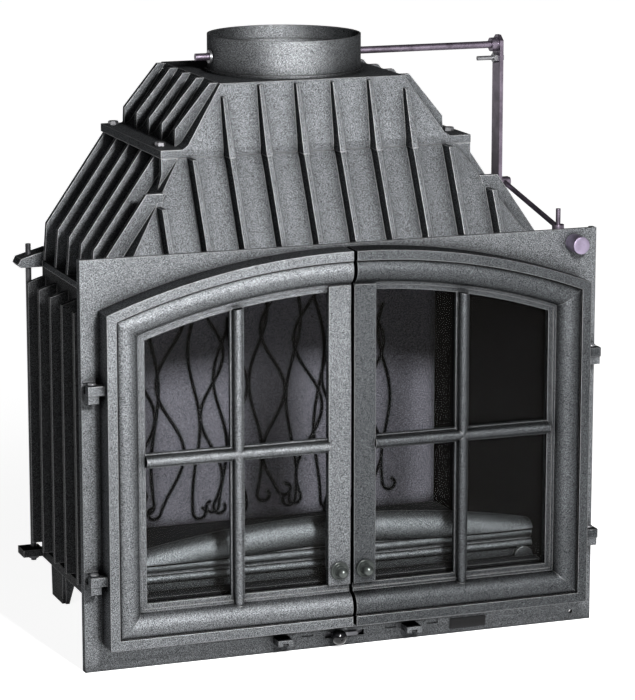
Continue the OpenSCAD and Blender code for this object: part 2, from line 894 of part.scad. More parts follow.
// Side outline of the lower hood, drawn in by t
module lower_hood_side(t) {
    polygon([
        [-hood_half_w + t, joint_z - 1],
        [hood_half_w - t, joint_z - 1],
        [hood_half_w - t, hood_bend_z],
        [throat_half_w - t - 1.2 * side_slope, flange_z + 1.2],
        [-throat_half_w + t + 1.2 * side_slope, flange_z + 1.2],
        [-hood_half_w + t, hood_bend_z]
    ]);
}

module lower_hood_front(t) {
    polygon([
        [hood_front + t, joint_z - 1],
        [body_back - t, joint_z - 1],
        [body_back - t, flange_z + 1.2],
        [flange_front + t + 1.2 * front_slope, flange_z + 1.2],
        [hood_front + t, hood_bend_z]
    ]);
}

module lower_side_fin(y, notched) {
    wall_x = hood_half_w - 3;
    top_x = throat_half_w - 3;
    tip_z = notched ? notch_z : flange_z;
    tip_x = hood_half_w + fin_out - (tip_z - hood_bend_z) * side_slope;
    from_front(y - side_rib_t / 2, y + side_rib_t / 2)
        polygon([
            [wall_x, joint_z + 8],
            [hood_half_w + fin_out + 4, joint_z + 8],
            [hood_half_w + fin_out, hood_bend_z],
            [tip_x, tip_z],
            [wall_x - (tip_z - hood_bend_z) * side_slope, tip_z]
        ]);
}

// A front rib of the lower hood, up to height z1
module lower_front_rib(x, z1) {
    y1 = flange_front - (flange_z - z1) * front_slope;
    from_side(x - front_rib_t / 2, x + front_rib_t / 2)
        polygon([
            [hood_front + 2, lintel_z],
            [hood_front + 2, hood_bend_z],
            [y1 + 3, z1],
            [y1 - front_rib_out, z1],
            [hood_front - front_rib_out, hood_bend_z],
            [hood_front - front_rib_out, lintel_z]
        ]);
}

module lower_hood() {
    color("#3c3e42") seat() {
        difference() {
            intersection() {
                from_front(-1, big)
                    lower_hood_side(0);
                from_side(-big, big)
                    lower_hood_front(0);
                block(-big, big, -big, big, joint_z, flange_z);
            }
            intersection() {
                from_front(-1, big)
                    lower_hood_side(wall_t);
                from_side(-big, big)
                    lower_hood_front(wall_t);
            }
            block(-big, big, -1, hood_front + wall_t + 1, joint_z - 1, lintel_z);
            hood_back_outline();
        }
        difference() {
            block(-wall_half_w - 3, wall_half_w + 3, hood_front, body_back + 6, joint_z, joint_z + 8);
            block(-hood_half_w + wall_t, hood_half_w - wall_t, hood_front - 1, body_back - wall_t,
                joint_z - 1, joint_z + 9);
        }
        block(-wall_half_w + 1, wall_half_w - 1, plate_t, hood_front + 1, lintel_z, lintel_z + 7);
        both_sides() {
            block(wall_half_w - wall_t, wall_half_w, plate_t, hood_front + 1, joint_z, lintel_z + 7);
            for (i = [0 : side_ribs - 1])
                lower_side_fin(fin_ys[i], i == 0);
            from_front(flange_front, flange_front + 8)
                polygon([
                    [throat_half_w - 4, flange_z],
                    [flange_half_w - 0.5, flange_z],
                    [flange_half_w - 0.5, flange_z - 20],
                    [flange_half_w + 6, notch_z - 4],
                    [throat_half_w, notch_z - 4]
                ]);
            for (i = [0 : 3])
                lower_front_rib((i + 0.5) * front_rib_pitch, flange_z);
            lower_front_rib(4.5 * front_rib_pitch, hood_bend_z + 62);
            for (y = tie_y)
                tie_lug(y - lug_l / 2, y + lug_l / 2, joint_z, joint_z + 12, 11);
            intersection() {
                block(baffle_half_w - 12, hood_half_w, baffle_front + 6, baffle_front + 18,
                    baffle_low(baffle_front + 18) - 8, baffle_low(baffle_front + 18) - 0.3);
                from_front(0, big)
                    lower_hood_side(wall_t - 2);
            }
        }
    }
}

// The plate's room in the back wall: between the side walls, on the rim
module hood_back_outline() {
    intersection() {
        from_front(body_back - wall_t, body_back + 1)
            lower_hood_side(wall_t);
        block(-big, big, 0, big, joint_z + 8, flange_z);
    }
}

module hood_back_plate() {
    color("#3c3e42") seat() {
        intersection() {
            hood_back_outline();
            block(-big, big, 0, body_back, 0, big);
        }
        for (x = [-3 : 3])
            block(x * front_rib_pitch - side_rib_t / 2, x * front_rib_pitch + side_rib_t / 2,
                body_back - 1, body_back + back_rib_out, joint_z + 8, flange_z - 10);
    }
}

// Front outline of the upper hood, drawn in by t
module upper_hood_side(t) {
    polygon([
        [-flange_half_w + t, flange_z - 1],
        [flange_half_w - t, flange_z - 1],
        [flange_half_w - t, flange_top - t],
        [shoulder_half_w + 8 - t, flange_top - t],
        [shoulder_half_w - t, flange_top + 5 - t],
        [top_half_w - t, top_z - t],
        [-top_half_w + t, top_z - t],
        [-shoulder_half_w + t, flange_top + 5 - t],
        [-shoulder_half_w - 8 + t, flange_top - t],
        [-flange_half_w + t, flange_top - t]
    ]);
}

module upper_hood_front(t) {
    polygon([
        [flange_front + t, flange_z - 1],
        [body_back - t, flange_z - 1],
        [body_back - t, top_z - t],
        [top_front + t, top_z - t],
        [flange_front + t, flange_top]
    ]);
}

module upper_side_fin(y) {
    from_front(y - side_rib_t / 2, y + side_rib_t / 2)
        polygon([
            [shoulder_half_w - 20, flange_top - 2],
            [upper_fin_half_w + 1, flange_top - 2],
            [upper_fin_half_w, upper_fin_bend_z],
            [top_half_w + upper_fin_out, top_z],
            [top_half_w - 4, top_z]
        ]);
}

// A tapered front rib of the upper hood, up to height z1
module upper_front_rib(x, z1) {
    y1 = flange_front + (top_front - flange_front) * (z1 - flange_top) / (top_z - flange_top);
    intersection() {
        from_side(x - 10, x + 10)
            polygon([
                [flange_front + 3, flange_z],
                [flange_front - front_rib_out - 1, flange_z],
                [y1 - upper_rib_out, z1],
                [y1 + 4, z1]
            ]);
        from_front(0, big)
            polygon([[x - 4, flange_z], [x + 4, flange_z], [x + 2, top_z], [x - 2, top_z]]);
    }
}

module upper_hood() {
    color("#3c3e42") seat() {
        difference() {
            intersection() {
                from_front(-1, big)
                    upper_hood_side(0);
                from_side(-big, big)
                    upper_hood_front(0);
                block(-big, big, -big, big, flange_z, top_z);
            }
            intersection() {
                from_front(-1, big)
                    polygon([
                        [-throat_half_w + wall_t, flange_z - 1],
                        [throat_half_w - wall_t, flange_z - 1],
                        [shoulder_half_w - wall_t - 2, flange_top],
                        [top_half_w - wall_t, top_z - wall_t],
                        [-top_half_w + wall_t, top_z - wall_t],
                        [-shoulder_half_w + wall_t + 2, flange_top]
                    ]);
                from_side(-big, big)
                    upper_hood_front(wall_t);
            }
            translate([0, flue_y, top_z - 20])
                cylinder(r = throat_r, h = 40, $fn = 96);
            both_sides()
                for (y = bolt_ys)
                    translate([bolt_x, y, flange_z - 1])
                        cylinder(r = bolt_r + run_clear, h = flange_t + 2);
        }
        both_sides() {
            for (i = [1 : side_ribs - 1])
                upper_side_fin(fin_ys[i]);
            for (i = [0 : 2])
                upper_front_rib((i + 0.5) * front_rib_pitch, top_z - (i == 2 ? 16 : 3));
        }
        for (x = [-2 : 2])
            block(x * front_rib_pitch - side_rib_t / 2, x * front_rib_pitch + side_rib_t / 2,
                body_back - 1, body_back + back_rib_out - 2, flange_top + 4, top_z - 8);
    }
}

module hood_bolts() {
    color("#8b8c90") seat()
        both_sides()
            for (y = bolt_ys)
                translate([bolt_x, y, flange_z]) {
                    cylinder(r = bolt_r, h = flange_t + 1);
                    translate([0, 0, flange_t])
                        hex_head();
                }
}

module flue_collar() {
    color("#55575b") seat()
        translate([0, flue_y, 0])
            difference() {
                union() {
                    translate([0, 0, top_z])
                        cylinder(r = collar_r, h = collar_top - top_z, $fn = 144);
                    translate([0, 0, top_z])
                        cylinder(r = collar_r + 4, h = 4, $fn = 144);
                    for (a = collar_lug_angles)
                        rotate(a)
                            translate([collar_r + 8, 0, top_z])
                                cylinder(r = 10, h = 8);
                }
                translate([0, 0, top_z - 1])
                    cylinder(r = throat_r, h = big, $fn = 144);
                translate([0, 0, collar_top - socket_depth])
                    cylinder(r = socket_r, h = big, $fn = 144);
                bar_x_round(0, shaft_z, -2 * collar_r, 2 * collar_r, shaft_r + run_clear);
                for (a = collar_lug_angles)
                    rotate(a)
                        translate([collar_r + 8, 0, top_z - 1])
                            cylinder(r = bolt_r + run_clear, h = 20);
            }
}

module collar_bolts() {
    color("#8b8c90") seat()
        translate([0, flue_y, 0])
            for (a = collar_lug_angles)
                rotate(a)
                    translate([collar_r + 8, 0, top_z]) {
                        cylinder(r = bolt_r, h = 9);
                        translate([0, 0, 8])
                            hex_head();
                    }
}

module tie_rods() {
    color("#3a3b3f") seat()
        both_sides()
            for (y = tie_y)
                translate([tie_x, y, base_z - 6])
                    cylinder(r = tie_r, h = tie_top - base_z + 6);
}

module tie_nuts() {
    color("#3a3b3f") seat()
        both_sides()
            for (y = tie_y)
                translate([tie_x, y, base_z + 2 - hex_h])
                    difference() {
                        hex_head();
                        translate([0, 0, -1])
                            cylinder(r = tie_r + run_clear, h = hex_h + 2);
                    }
}

// Doors, drawn for the right leaf and mirrored for the left one

// Section of the moulded border: u runs inwards from the leaf's edge, v forwards
module border_section() {
    difference() {
        union() {
            difference() {
                translate([roll_u, roll_v])
                    circle(r = roll_r, $fn = 64);
                translate([roll_u, roll_v])
                    circle(r = roll_r - door_wall, $fn = 64);
                translate([roll_u - big, -big])
                    square([2 * big, big + lip_back]);
                translate([-big, -big])
                    square([big + flange_w, 2 * big]);
            }
            square([flange_w, door_depth]);
            translate([door_wall + seal_w + 0.1, 0])
                square([3, roll_v + 7]);
            translate([lip_in, lip_back])
                square([border_w - lip_in, lip_t]);
            translate([lip_in, lip_back])
                square([border_w - lip_in - 6, lip_t + 2]);
        }
        translate([door_wall, -1])
            square([seal_w + 0.1, seal_h + 1]);
        translate([flange_w - groove_w, door_depth - 4])
            square([groove_w, big]);
    }
}

// Section that closes the roll's hollow at the leaf's free edge
module end_section() {
    intersection() {
        translate([roll_u, roll_v])
            circle(r = roll_r - door_wall + 0.5, $fn = 64);
        translate([flange_w - 1, lip_back + 0.4])
            square([big, big]);
    }
}

// Keeps the part of the border that lies between the mitres
module mitre(side) {
    inner = door_half_w - border_w;
    inner_z = arch_height(inner, border_w);
    top = [inner - door_half_w, inner_z - door_shoulder];
    low = [-border_w, border_w];
    k = 3;
    intersection() {
        children();
        from_front(-big, big)
            if (side == "side")
                polygon([
                    [door_half_w - k * low[0], door_bottom - k * low[1]],
                    [door_half_w + 2 * low[0], door_bottom + 2 * low[1]],
                    [door_half_w + 2 * top[0], door_shoulder + 2 * top[1]],
                    [door_half_w - k * top[0], door_shoulder - k * top[1]]
                ]);
            else if (side == "top")
                polygon([
                    [leaf_edge, door_shoulder + 2 * top[1] - mitre_lap],
                    [door_half_w + 2 * top[0], door_shoulder + 2 * top[1] - mitre_lap],
                    [door_half_w - mitre_step, door_shoulder - mitre_lap],
                    [door_half_w - mitre_step, door_shoulder - k * top[1]],
                    [leaf_edge, door_shoulder - k * top[1]]
                ]);
            else
                polygon([
                    [leaf_edge, door_bottom - k * low[1]],
                    [door_half_w, door_bottom - k * low[1]],
                    [door_half_w, door_bottom + mitre_lap],
                    [door_half_w + 2 * low[0], door_bottom + 2 * low[1] + mitre_lap],
                    [leaf_edge, door_bottom + 2 * low[1] + mitre_lap]
                ]);
    }
}

module border_side() {
    mitre("side")
        translate([door_half_w, -door_back_gap, door_bottom])
            rotate([0, 0, 180])
                linear_extrude(door_apex - door_bottom)
                    border_section();
}

module border_top() {
    mitre("top")
        translate([0, mitre_step - door_back_gap, arch_z])
            rotate([90, 0, 0])
                rotate([0, 0, 64])
                    rotate_extrude(angle = 28, $fn = 720)
                        translate([arch_r, 0])
                            mirror([1, 0])
                                children();
}

module border_bottom() {
    mitre("bottom")
        translate([0, -door_back_gap, door_bottom])
            rotate([0, -90, 180])
                linear_extrude(door_half_w)
                    children();
}

// Section of a glazing bar: X runs across it and Y backwards from the lip's back
module bar_section() {
    bead_y = lip_back - bar_bead_v;
    translate([-bar_w / 2, -lip_t])
        square([bar_w, lip_t - back_step]);
    translate([-bar_bead_r, bead_y])
        square([2 * bar_bead_r, -bead_y - back_step]);
    translate([0, bead_y])
        circle(r = bar_bead_r);
    for (s = [-1, 1])
        translate([s * (bar_w / 2 - 1.6), -lip_t])
            circle(r = 1.6, $fn = 24);
}

module upright_bar(x, z0, z1) {
    translate([x, -door_back_gap - lip_back, z0])
        linear_extrude(z1 - z0)
            bar_section();
}

module level_bar(z, x0, x1) {
    translate([x0, -door_back_gap - lip_back, z])
        rotate([0, 90, 0])
            linear_extrude(x1 - x0)
                bar_section();
}

// Round lower end of an upright bar's bead, on the border's roll
module bead_end(x, z) {
    y = -door_back_gap - bar_bead_v;
    translate([x, y, z])
        sphere(r = bar_bead_r);
    translate([x, y, z])
        cylinder(r = bar_bead_r, h = 10);
    block(x - bar_bead_r, x + bar_bead_r, y, -door_back_gap - lip_back - 1, z, z + 10);
}

module clip_bosses() {
    for (p = clip_places)
        bar_y(p[0], p[1], -door_back_gap - boss_top, -door_back_gap - glass_back, boss_r);
}

module door_knuckle(z) {
    difference() {
        union() {
            translate([hinge_x, -hinge_out, z])
                cylinder(r = 8, h = knuckle_h);
            block(door_half_w - 2, hinge_x + 8, -hinge_out - 12, -hinge_out, z, z + knuckle_h);
        }
        translate([hinge_x, -hinge_out, z - 1])
            cylinder(r = hinge_pin_r + run_clear, h = knuckle_h + 2);
    }
}

module door_frame() {
    y0 = -door_back_gap - stile_v;
    y1 = -door_back_gap - lip_back - back_step;
    difference() {
        union() {
            border_side();
            border_top()
                border_section();
            border_bottom()
                border_section();
            intersection() {
                union() {
                    border_top()
                        end_section();
                    border_bottom()
                        end_section();
                }
                block(leaf_edge, leaf_edge + door_wall, -big, big, 0, big);
            }
            intersection() {
                union() {
                    block(leaf_edge, leaf_edge + stile_w, y0, y1, door_bottom + border_w + 1, big);
                    block(leaf_edge, leaf_edge + stile_w, y1 - lip_t + 2 * back_step, y1, door_bottom, big);
                }
                from_front(-big, big)
                    arch_outline(border_w - 8);
            }
            intersection() {
                union() {
                    upright_bar(bar_x, door_bottom, door_apex);
                    level_bar(cross_z, leaf_edge + stile_w - 1, door_half_w);
                }
                from_front(-big, big)
                    arch_outline(border_w - 1);
            }
            bead_end(bar_x, door_bottom + border_w - 9);
            clip_bosses();
            door_knuckle(hinge_low_z);
            door_knuckle(hinge_high_z);
        }
        bar_y(knob_x, knob_z, -big, big, spindle_r + run_clear);
        for (p = clip_places)
            bar_y(p[0], p[1], -door_back_gap - boss_top + 4, 1, clip_screw_r + run_clear);
    }
}

// Outline of a pane, whose edge lies at u from the leaf's outer edge
module pane_outline(u, edge_x) {
    intersection() {
        arch_outline(u);
        translate([edge_x, 0])
            square([door_half_w, big]);
    }
}

module glass() {
    y = -door_back_gap - glass_back;
    from_front(y - glass_t, y)
        pane_outline(glass_u, glass_edge_x);
}

module gasket() {
    y = -door_back_gap - lip_back;
    from_front(y + soft_step, y + gasket_t)
        difference() {
            pane_outline(glass_u, glass_edge_x);
            pane_outline(glass_u + glass_lap - 2, glass_edge_x + 6);
        }
}

module seal() {
    from_front(soft_step - door_back_gap - seal_h, -0.3)
        difference() {
            arch_outline(door_wall + 0.1);
            arch_outline(door_wall + seal_w - mitre_lap);
            translate([-big, -big])
                square([big + leaf_edge + door_wall + 0.1, 2 * big]);
        }
}

module clips() {
    y = -door_back_gap - glass_back;
    for (p = clip_places)
        difference() {
            translate([p[0], 0, p[1]])
                rotate([0, -p[2], 0])
                    block(-clip_l / 2 + 3, clip_l / 2 + 1, y, y + clip_t, -clip_w / 2, clip_w / 2);
            bar_y(p[0], p[1], -big, big, clip_screw_r + run_clear);
        }
}

module clip_screws() {
    y = -door_back_gap - glass_back;
    for (p = clip_places) {
        bar_y(p[0], p[1], y - 8, y + clip_t + 0.1, clip_screw_r);
        bar_y(p[0], p[1], y + clip_t, y + clip_t + 2.2, clip_screw_r + 2);
    }
}

module knob() {
    y0 = -door_back_gap - stile_v;
    difference() {
        translate([knob_x, y0 - 0.1, knob_z])
            rotate([90, 0, 0])
                rotate_extrude($fn = 64)
                    intersection() {
                        translate([0, -1])
                            square([knob_r + 1, knob_l + 1]);
                        union() {
                            polygon([
                                [-1, 0],
                                [knob_r, 0],
                                [knob_r, 1.5],
                                [knob_r - 1.2, 3.2],
                                [knob_neck_r + 1.5, 4.2],
                                [knob_neck_r, 5.5],
                                [knob_neck_r, knob_l - knob_ball_r],
                                [-1, knob_l - knob_ball_r]
                            ]);
                            translate([0, knob_l - 0.1 - knob_ball_r])
                                circle(r = knob_ball_r);
                        }
                    }
        bar_y(knob_x, knob_z, y0 - 8, 1, spindle_r + run_clear);
    }
}

module spindle() {
    y0 = -door_back_gap - stile_v;
    bar_y(knob_x, knob_z, y0 - 8, plate_t + 1.6 + tongue_t + 2, spindle_r);
}

module tongue() {
    difference() {
        block(knob_x - tongue_w / 2, knob_x + tongue_w / 2, plate_t + 1.6, plate_t + 1.6 + tongue_t,
            knob_z - 6, knob_z + tongue_l);
        bar_y(knob_x, knob_z, -big, big, spindle_r + run_clear);
    }
}

module left_door_frame() { color("#54575b") seat() mirror([1, 0, 0]) door_frame(); }
module right_door_frame() { color("#54575b") seat() door_frame(); }
module left_glass() { color("#7d8a90", 0.3) seat() mirror([1, 0, 0]) glass(); }
module right_glass() { color("#7d8a90", 0.3) seat() glass(); }
module left_gasket() { color("#8f8d86") seat() mirror([1, 0, 0]) gasket(); }
module right_gasket() { color("#8f8d86") seat() gasket(); }
module left_seal() { color("#77766f") seat() mirror([1, 0, 0]) seal(); }
module right_seal() { color("#77766f") seat() seal(); }
module left_clips() { color("#6f7074") seat() mirror([1, 0, 0]) clips(); }
module right_clips() { color("#6f7074") seat() clips(); }
module left_clip_screws() { color("#8b8c90") seat() mirror([1, 0, 0]) clip_screws(); }
module right_clip_screws() { color("#8b8c90") seat() clip_screws(); }
module left_knob() { color("#2f3133") seat() mirror([1, 0, 0]) knob(); }
module right_knob() { color("#2f3133") seat() knob(); }
module left_spindle() { color("#6f7074") seat() mirror([1, 0, 0]) spindle(); }
module right_spindle() { color("#6f7074") seat() spindle(); }
module left_tongue() { color("#6f7074") seat() mirror([1, 0, 0]) tongue(); }
module right_tongue() { color("#6f7074") seat() tongue(); }

// Damper and its linkage

// Turns what is drawn flat over the shaft to the butterfly's tilt
module tilted() {
    translate([0, flue_y, shaft_z])
        rotate([-damper_tilt, 0, 0])
            children();
}

module damper_plate() {
    color("#2f3033") seat()
        tilted()
            difference() {
                translate([0, 0, -shaft_r - damper_t])
                    cylinder(r = damper_r, h = damper_t, $fn = 96);
                for (x = damper_bolt_xs)
                    translate([x, 0, -20])
                        cylinder(r = damper_bolt_r + run_clear, h = 20);
            }
}

module damper_shaft() {
    color("#8a8694") seat()
        difference() {
            bar_x_round(flue_y, shaft_z, -shaft_left, crank_out + 3, shaft_r);
            tilted()
                for (x = damper_bolt_xs)
                    translate([x, 0, -20])
                        cylinder(r = damper_bolt_r + run_clear, h = 40);
        }
}

module damper_bolts() {
    color("#8b8c90") seat()
        tilted()
            for (x = damper_bolt_xs)
                translate([x, 0, -shaft_r - damper_t - 4]) {
                    hex_head(4, 5.5);
                    cylinder(r = damper_bolt_r, h = 2 * shaft_r + damper_t + 7);
                }
}

module shaft_washer() {
    color("#8b8c90") seat()
        difference() {
            bar_x_round(flue_y, shaft_z, -collar_r - 3.3, -collar_r - 0.3, shaft_r + 4);
            bar_x_round(flue_y, shaft_z, -big, big, shaft_r + run_clear);
        }
}

module crank_arm() {
    color("#5c5766") seat()
        difference() {
            union() {
                block(crank_x, crank_out, flue_y - crank_w / 2, flue_y + crank_w / 2, crank_z - 10,
                    shaft_z + 6);
                from_side(crank_x, crank_out)
                    polygon([
                        [flue_y - crank_w / 2, shaft_z + 6 - eps],
                        [flue_y + crank_w / 2, shaft_z + 6 - eps],
                        [flue_y + 4, shaft_z + 13],
                        [flue_y - 4, shaft_z + 13]
                    ]);
                bar_x_round(flue_y, shaft_z, crank_x - 9, crank_x + eps, shaft_r + 4.5);
                bar_x_round(flue_y, crank_z, crank_out - eps, pull_x + link_half + 0.3, 3);
                bar_x_round(flue_y, crank_z, pull_x + link_half + 0.3, pull_x + link_half + 2.3, 6);
            }
            bar_x_round(flue_y, shaft_z, 0, big, shaft_r + run_clear);
            bar_x_round(flue_y, shaft_z - 18, 0, big, 3 + run_clear);
        }
}

module crank_bolt() {
    color("#8b8c90") seat() {
        bar_x_round(flue_y, shaft_z - 18, crank_x - 28, crank_out + 0.1, 3);
        translate([crank_x - 5.1, flue_y, shaft_z - 18])
            rotate([0, 90, 0])
                hex_head();
        translate([crank_out + 0.1 - eps, flue_y, shaft_z - 18])
            rotate([0, 90, 0])
                hex_head(4, 6);
    }
}

module link_rod() {
    y1 = flue_y - 6;
    y0 = upturn_y + pull_r + 3;
    z1 = crank_z - 0.6;
    a = atan2(z1 - eye_z, y1 - y0);
    color("#5c5766") seat()
        difference() {
            union() {
                bar_x_round(flue_y, crank_z, pull_x - link_half, pull_x + link_half, 7);
                translate([pull_x, y0, eye_z])
                    rotate([a - 90, 0, 0])
                        cylinder(r = link_r, h = norm([y1 - y0, z1 - eye_z]));
                translate([pull_x, upturn_y, eye_z - 3])
                    cylinder(r = pull_r + eye_clear + eye_wall, h = 6);
            }
            bar_x_round(flue_y, crank_z, 0, big, 3 + run_clear);
            translate([pull_x, upturn_y, eye_z - 10])
                cylinder(r = pull_r + eye_clear, h = 20);
        }
}

module pull_rod() {
    color("#5c5766") seat() {
        bar_y(pull_x, pull_z, -pull_knob_l + 6, upturn_y, pull_r);
        translate([pull_x, upturn_y, pull_z])
            sphere(r = pull_r);
        translate([pull_x, upturn_y, pull_z])
            cylinder(r = pull_r, h = upturn_top - pull_z);
    }
}

module pull_knob() {
    color("#8f8a99") seat()
        difference() {
            bar_y(pull_x, pull_z, -pull_knob_l - 0.3, -0.3, pull_knob_r);
            bar_y(pull_x, pull_z, -pull_knob_l + 6, 1, pull_r + run_clear);
        }
}

front_plate();
air_panel();
blank_plaque();
base_plate();
feet();
left_side_panel();
right_side_panel();
back_panel();
lower_hood();
hood_back_plate();
upper_hood();
flue_collar();
collar_bolts();
hood_bolts();
tie_rods();
tie_nuts();
hearth_plate();
grate();
ash_pan();
fireback();
left_liner();
right_liner();
baffle();
log_retainer();
hinge_pins();
left_door_frame();
left_glass();
left_gasket();
left_seal();
left_clips();
left_clip_screws();
right_door_frame();
right_glass();
right_gasket();
right_seal();
right_clips();
right_clip_screws();
left_knob();
left_spindle();
left_tongue();
right_knob();
right_spindle();
right_tongue();
damper_plate();
damper_shaft();
damper_bolts();
shaft_washer();
crank_arm();
crank_bolt();
link_rod();
pull_rod();
pull_knob();
air_slide();
air_knob();
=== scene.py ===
import math

import bmesh
import bpy
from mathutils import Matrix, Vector
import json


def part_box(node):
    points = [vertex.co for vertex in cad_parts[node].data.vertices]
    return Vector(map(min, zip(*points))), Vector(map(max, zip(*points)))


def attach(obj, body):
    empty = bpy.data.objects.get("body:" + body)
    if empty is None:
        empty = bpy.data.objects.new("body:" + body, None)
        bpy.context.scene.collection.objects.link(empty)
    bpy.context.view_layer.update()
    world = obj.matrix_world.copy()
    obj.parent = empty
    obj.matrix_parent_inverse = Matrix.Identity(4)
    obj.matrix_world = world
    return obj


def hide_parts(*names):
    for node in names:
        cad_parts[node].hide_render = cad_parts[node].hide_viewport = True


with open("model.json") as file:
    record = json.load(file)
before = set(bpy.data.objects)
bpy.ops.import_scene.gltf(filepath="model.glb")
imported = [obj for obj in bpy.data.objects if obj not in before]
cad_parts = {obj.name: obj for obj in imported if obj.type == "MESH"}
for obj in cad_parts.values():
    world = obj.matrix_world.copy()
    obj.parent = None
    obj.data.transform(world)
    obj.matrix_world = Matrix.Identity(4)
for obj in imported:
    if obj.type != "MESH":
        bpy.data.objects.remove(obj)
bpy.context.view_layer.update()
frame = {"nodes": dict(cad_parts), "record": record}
nodes = frame["nodes"]
print("frame loaded,", len(nodes), "nodes")


def newMaterial(name):
    mat = bpy.data.materials.new(name)
    mat.use_nodes = True
    mat.node_tree.nodes.clear()
    return mat


def addNode(tree, kind, values=None, **facts):
    node = tree.nodes.new(kind)
    for key, value in facts.items():
        setattr(node, key, value)
    for key, value in (values or {}).items():
        node.inputs[key].default_value = value
    return node


def link(tree, a, out, b, into):
    tree.links.new(a.outputs[out], b.inputs[into])


def grey(v):
    return (v, v, v, 1)


# A ramp of greys, from pairs of a place and a level
def greyRamp(tree, stops):
    node = tree.nodes.new("ShaderNodeValToRGB")
    while len(node.color_ramp.elements) < len(stops):
        node.color_ramp.elements.new(0.5)
    for element, (at, level) in zip(node.color_ramp.elements, stops):
        element.position = at
        element.color = grey(level)
    return node


# Inputs 6 and 7 are the two colours, and output 2 is the result
def mixNode(tree, blend="MIX", factor=0.5):
    node = tree.nodes.new("ShaderNodeMix")
    node.data_type = "RGBA"
    node.blend_type = blend
    node.inputs[0].default_value = factor
    return node


# One plain colour times the greys that a ramp gives
def shadedColour(tree, colour, ramp):
    tone = mixNode(tree, "MULTIPLY", 1.0)
    tone.inputs[6].default_value = (*colour, 1)
    link(tree, ramp, 0, tone, 7)
    return tone


def endMaterial(mat, shader):
    out = addNode(mat.node_tree, "ShaderNodeOutputMaterial")
    link(mat.node_tree, shader, 0, out, 0)
    return mat


askew = (0.5, 0.7, 0.3)


# Object coordinates turned askew, because noise is weak on a plane that lies along its own lattice
def askewPlace(tree):
    place = addNode(tree, "ShaderNodeTexCoord")
    turned = addNode(tree, "ShaderNodeMapping", {"Rotation": askew})
    link(tree, place, "Object", turned, "Vector")
    return turned


def noiseNode(tree, place, scale, detail, rough):
    noise = addNode(tree, "ShaderNodeTexNoise", {"Scale": scale, "Detail": detail, "Roughness": rough})
    link(tree, place, "Vector", noise, "Vector")
    return noise


# Roughness that the grain moves between the look's own value less and plus a little
def grainyRoughness(tree, grain, rough, less, more):
    node = addNode(tree, "ShaderNodeMapRange", {"To Min": rough - less, "To Max": rough + more})
    link(tree, grain, "Fac", node, "Value")
    return node


# The camera as it was fitted to the photo, far off and with a long lens
shot = {"place": (-1.4305, -3.9485, 1.2494), "look": (0.33819, 0.91792, -0.20748), "lens": 166.58,
        "sensor": 36, "near": 0.05, "far": 400}


def makeCamera():
    data = bpy.data.cameras.new("camera")
    data.lens, data.sensor_width = shot["lens"], shot["sensor"]
    data.clip_start, data.clip_end = shot["near"], shot["far"]
    cam = bpy.data.objects.new("camera", data)
    cam.location = shot["place"]
    cam.rotation_euler = Vector(shot["look"]).to_track_quat("-Z", "Y").to_euler()
    bpy.context.scene.collection.objects.link(cam)
    bpy.context.scene.camera = cam


# The key stands in front and above, the wash lights the left flank and the fill the right one
lamps = {
    "key": {"place": (-0.08, -1.75, 1.20), "aim": (-0.05, -0.18, 0.45), "size": (0.20, 0.20), "power": 82},
    "wash": {"place": (-2.0, -1.2, 1.5), "aim": (-0.2, 0.1, 0.55), "size": (0.35, 0.35), "power": 5.5},
    "fill": {"place": (2.4, -2.6, 0.9), "aim": (0, 0, 0.4), "size": (2.0, 2.0), "power": 1.5},
}


def makeLamps():
    for name, facts in lamps.items():
        data = bpy.data.lights.new(name, "AREA")
        data.shape = "RECTANGLE"
        data.size, data.size_y = facts["size"]
        data.energy = facts["power"]
        lamp = bpy.data.objects.new(name, data)
        lamp.location = facts["place"]
        towards = Vector(facts["aim"]) - Vector(facts["place"])
        lamp.rotation_euler = towards.to_track_quat("-Z", "Y").to_euler()
        lamp.visible_camera = False
        bpy.context.scene.collection.objects.link(lamp)


# The floor is pale to the camera and in glass and metal, a little less so near the stove, where its
# shadow falls; it is greyer for the light that it throws back, and the world is dark for that light
stage = {"floorHalf": 90.0, "bounce": 0.35, "white": 0.60, "liftNear": 0.90, "liftFar": 1.0,
         "nearTo": 0.55, "farFrom": 1.7, "worldGrey": 0.015}


# 1 for a ray of any of these kinds, otherwise 0
def seenBy(tree, kinds):
    path = addNode(tree, "ShaderNodeLightPath")
    seen, out = path, kinds[0]
    for kind in kinds[1:]:
        either = addNode(tree, "ShaderNodeMath", operation="MAXIMUM")
        link(tree, seen, out, either, 0)
        link(tree, path, kind, either, 1)
        seen, out = either, 0
    return seen


def makeWorld():
    world = bpy.data.worlds.new("studio")
    bpy.context.scene.world = world
    world.use_nodes = True
    tree = world.node_tree
    tree.nodes.clear()
    level = addNode(tree, "ShaderNodeMapRange", {"To Min": stage["worldGrey"], "To Max": 1.0})
    link(tree, seenBy(tree, ["Is Camera Ray", "Is Transmission Ray"]), 0, level, "Value")
    shade = addNode(tree, "ShaderNodeBackground")
    link(tree, level, 0, shade, "Strength")
    out = addNode(tree, "ShaderNodeOutputWorld")
    link(tree, shade, 0, out, 0)


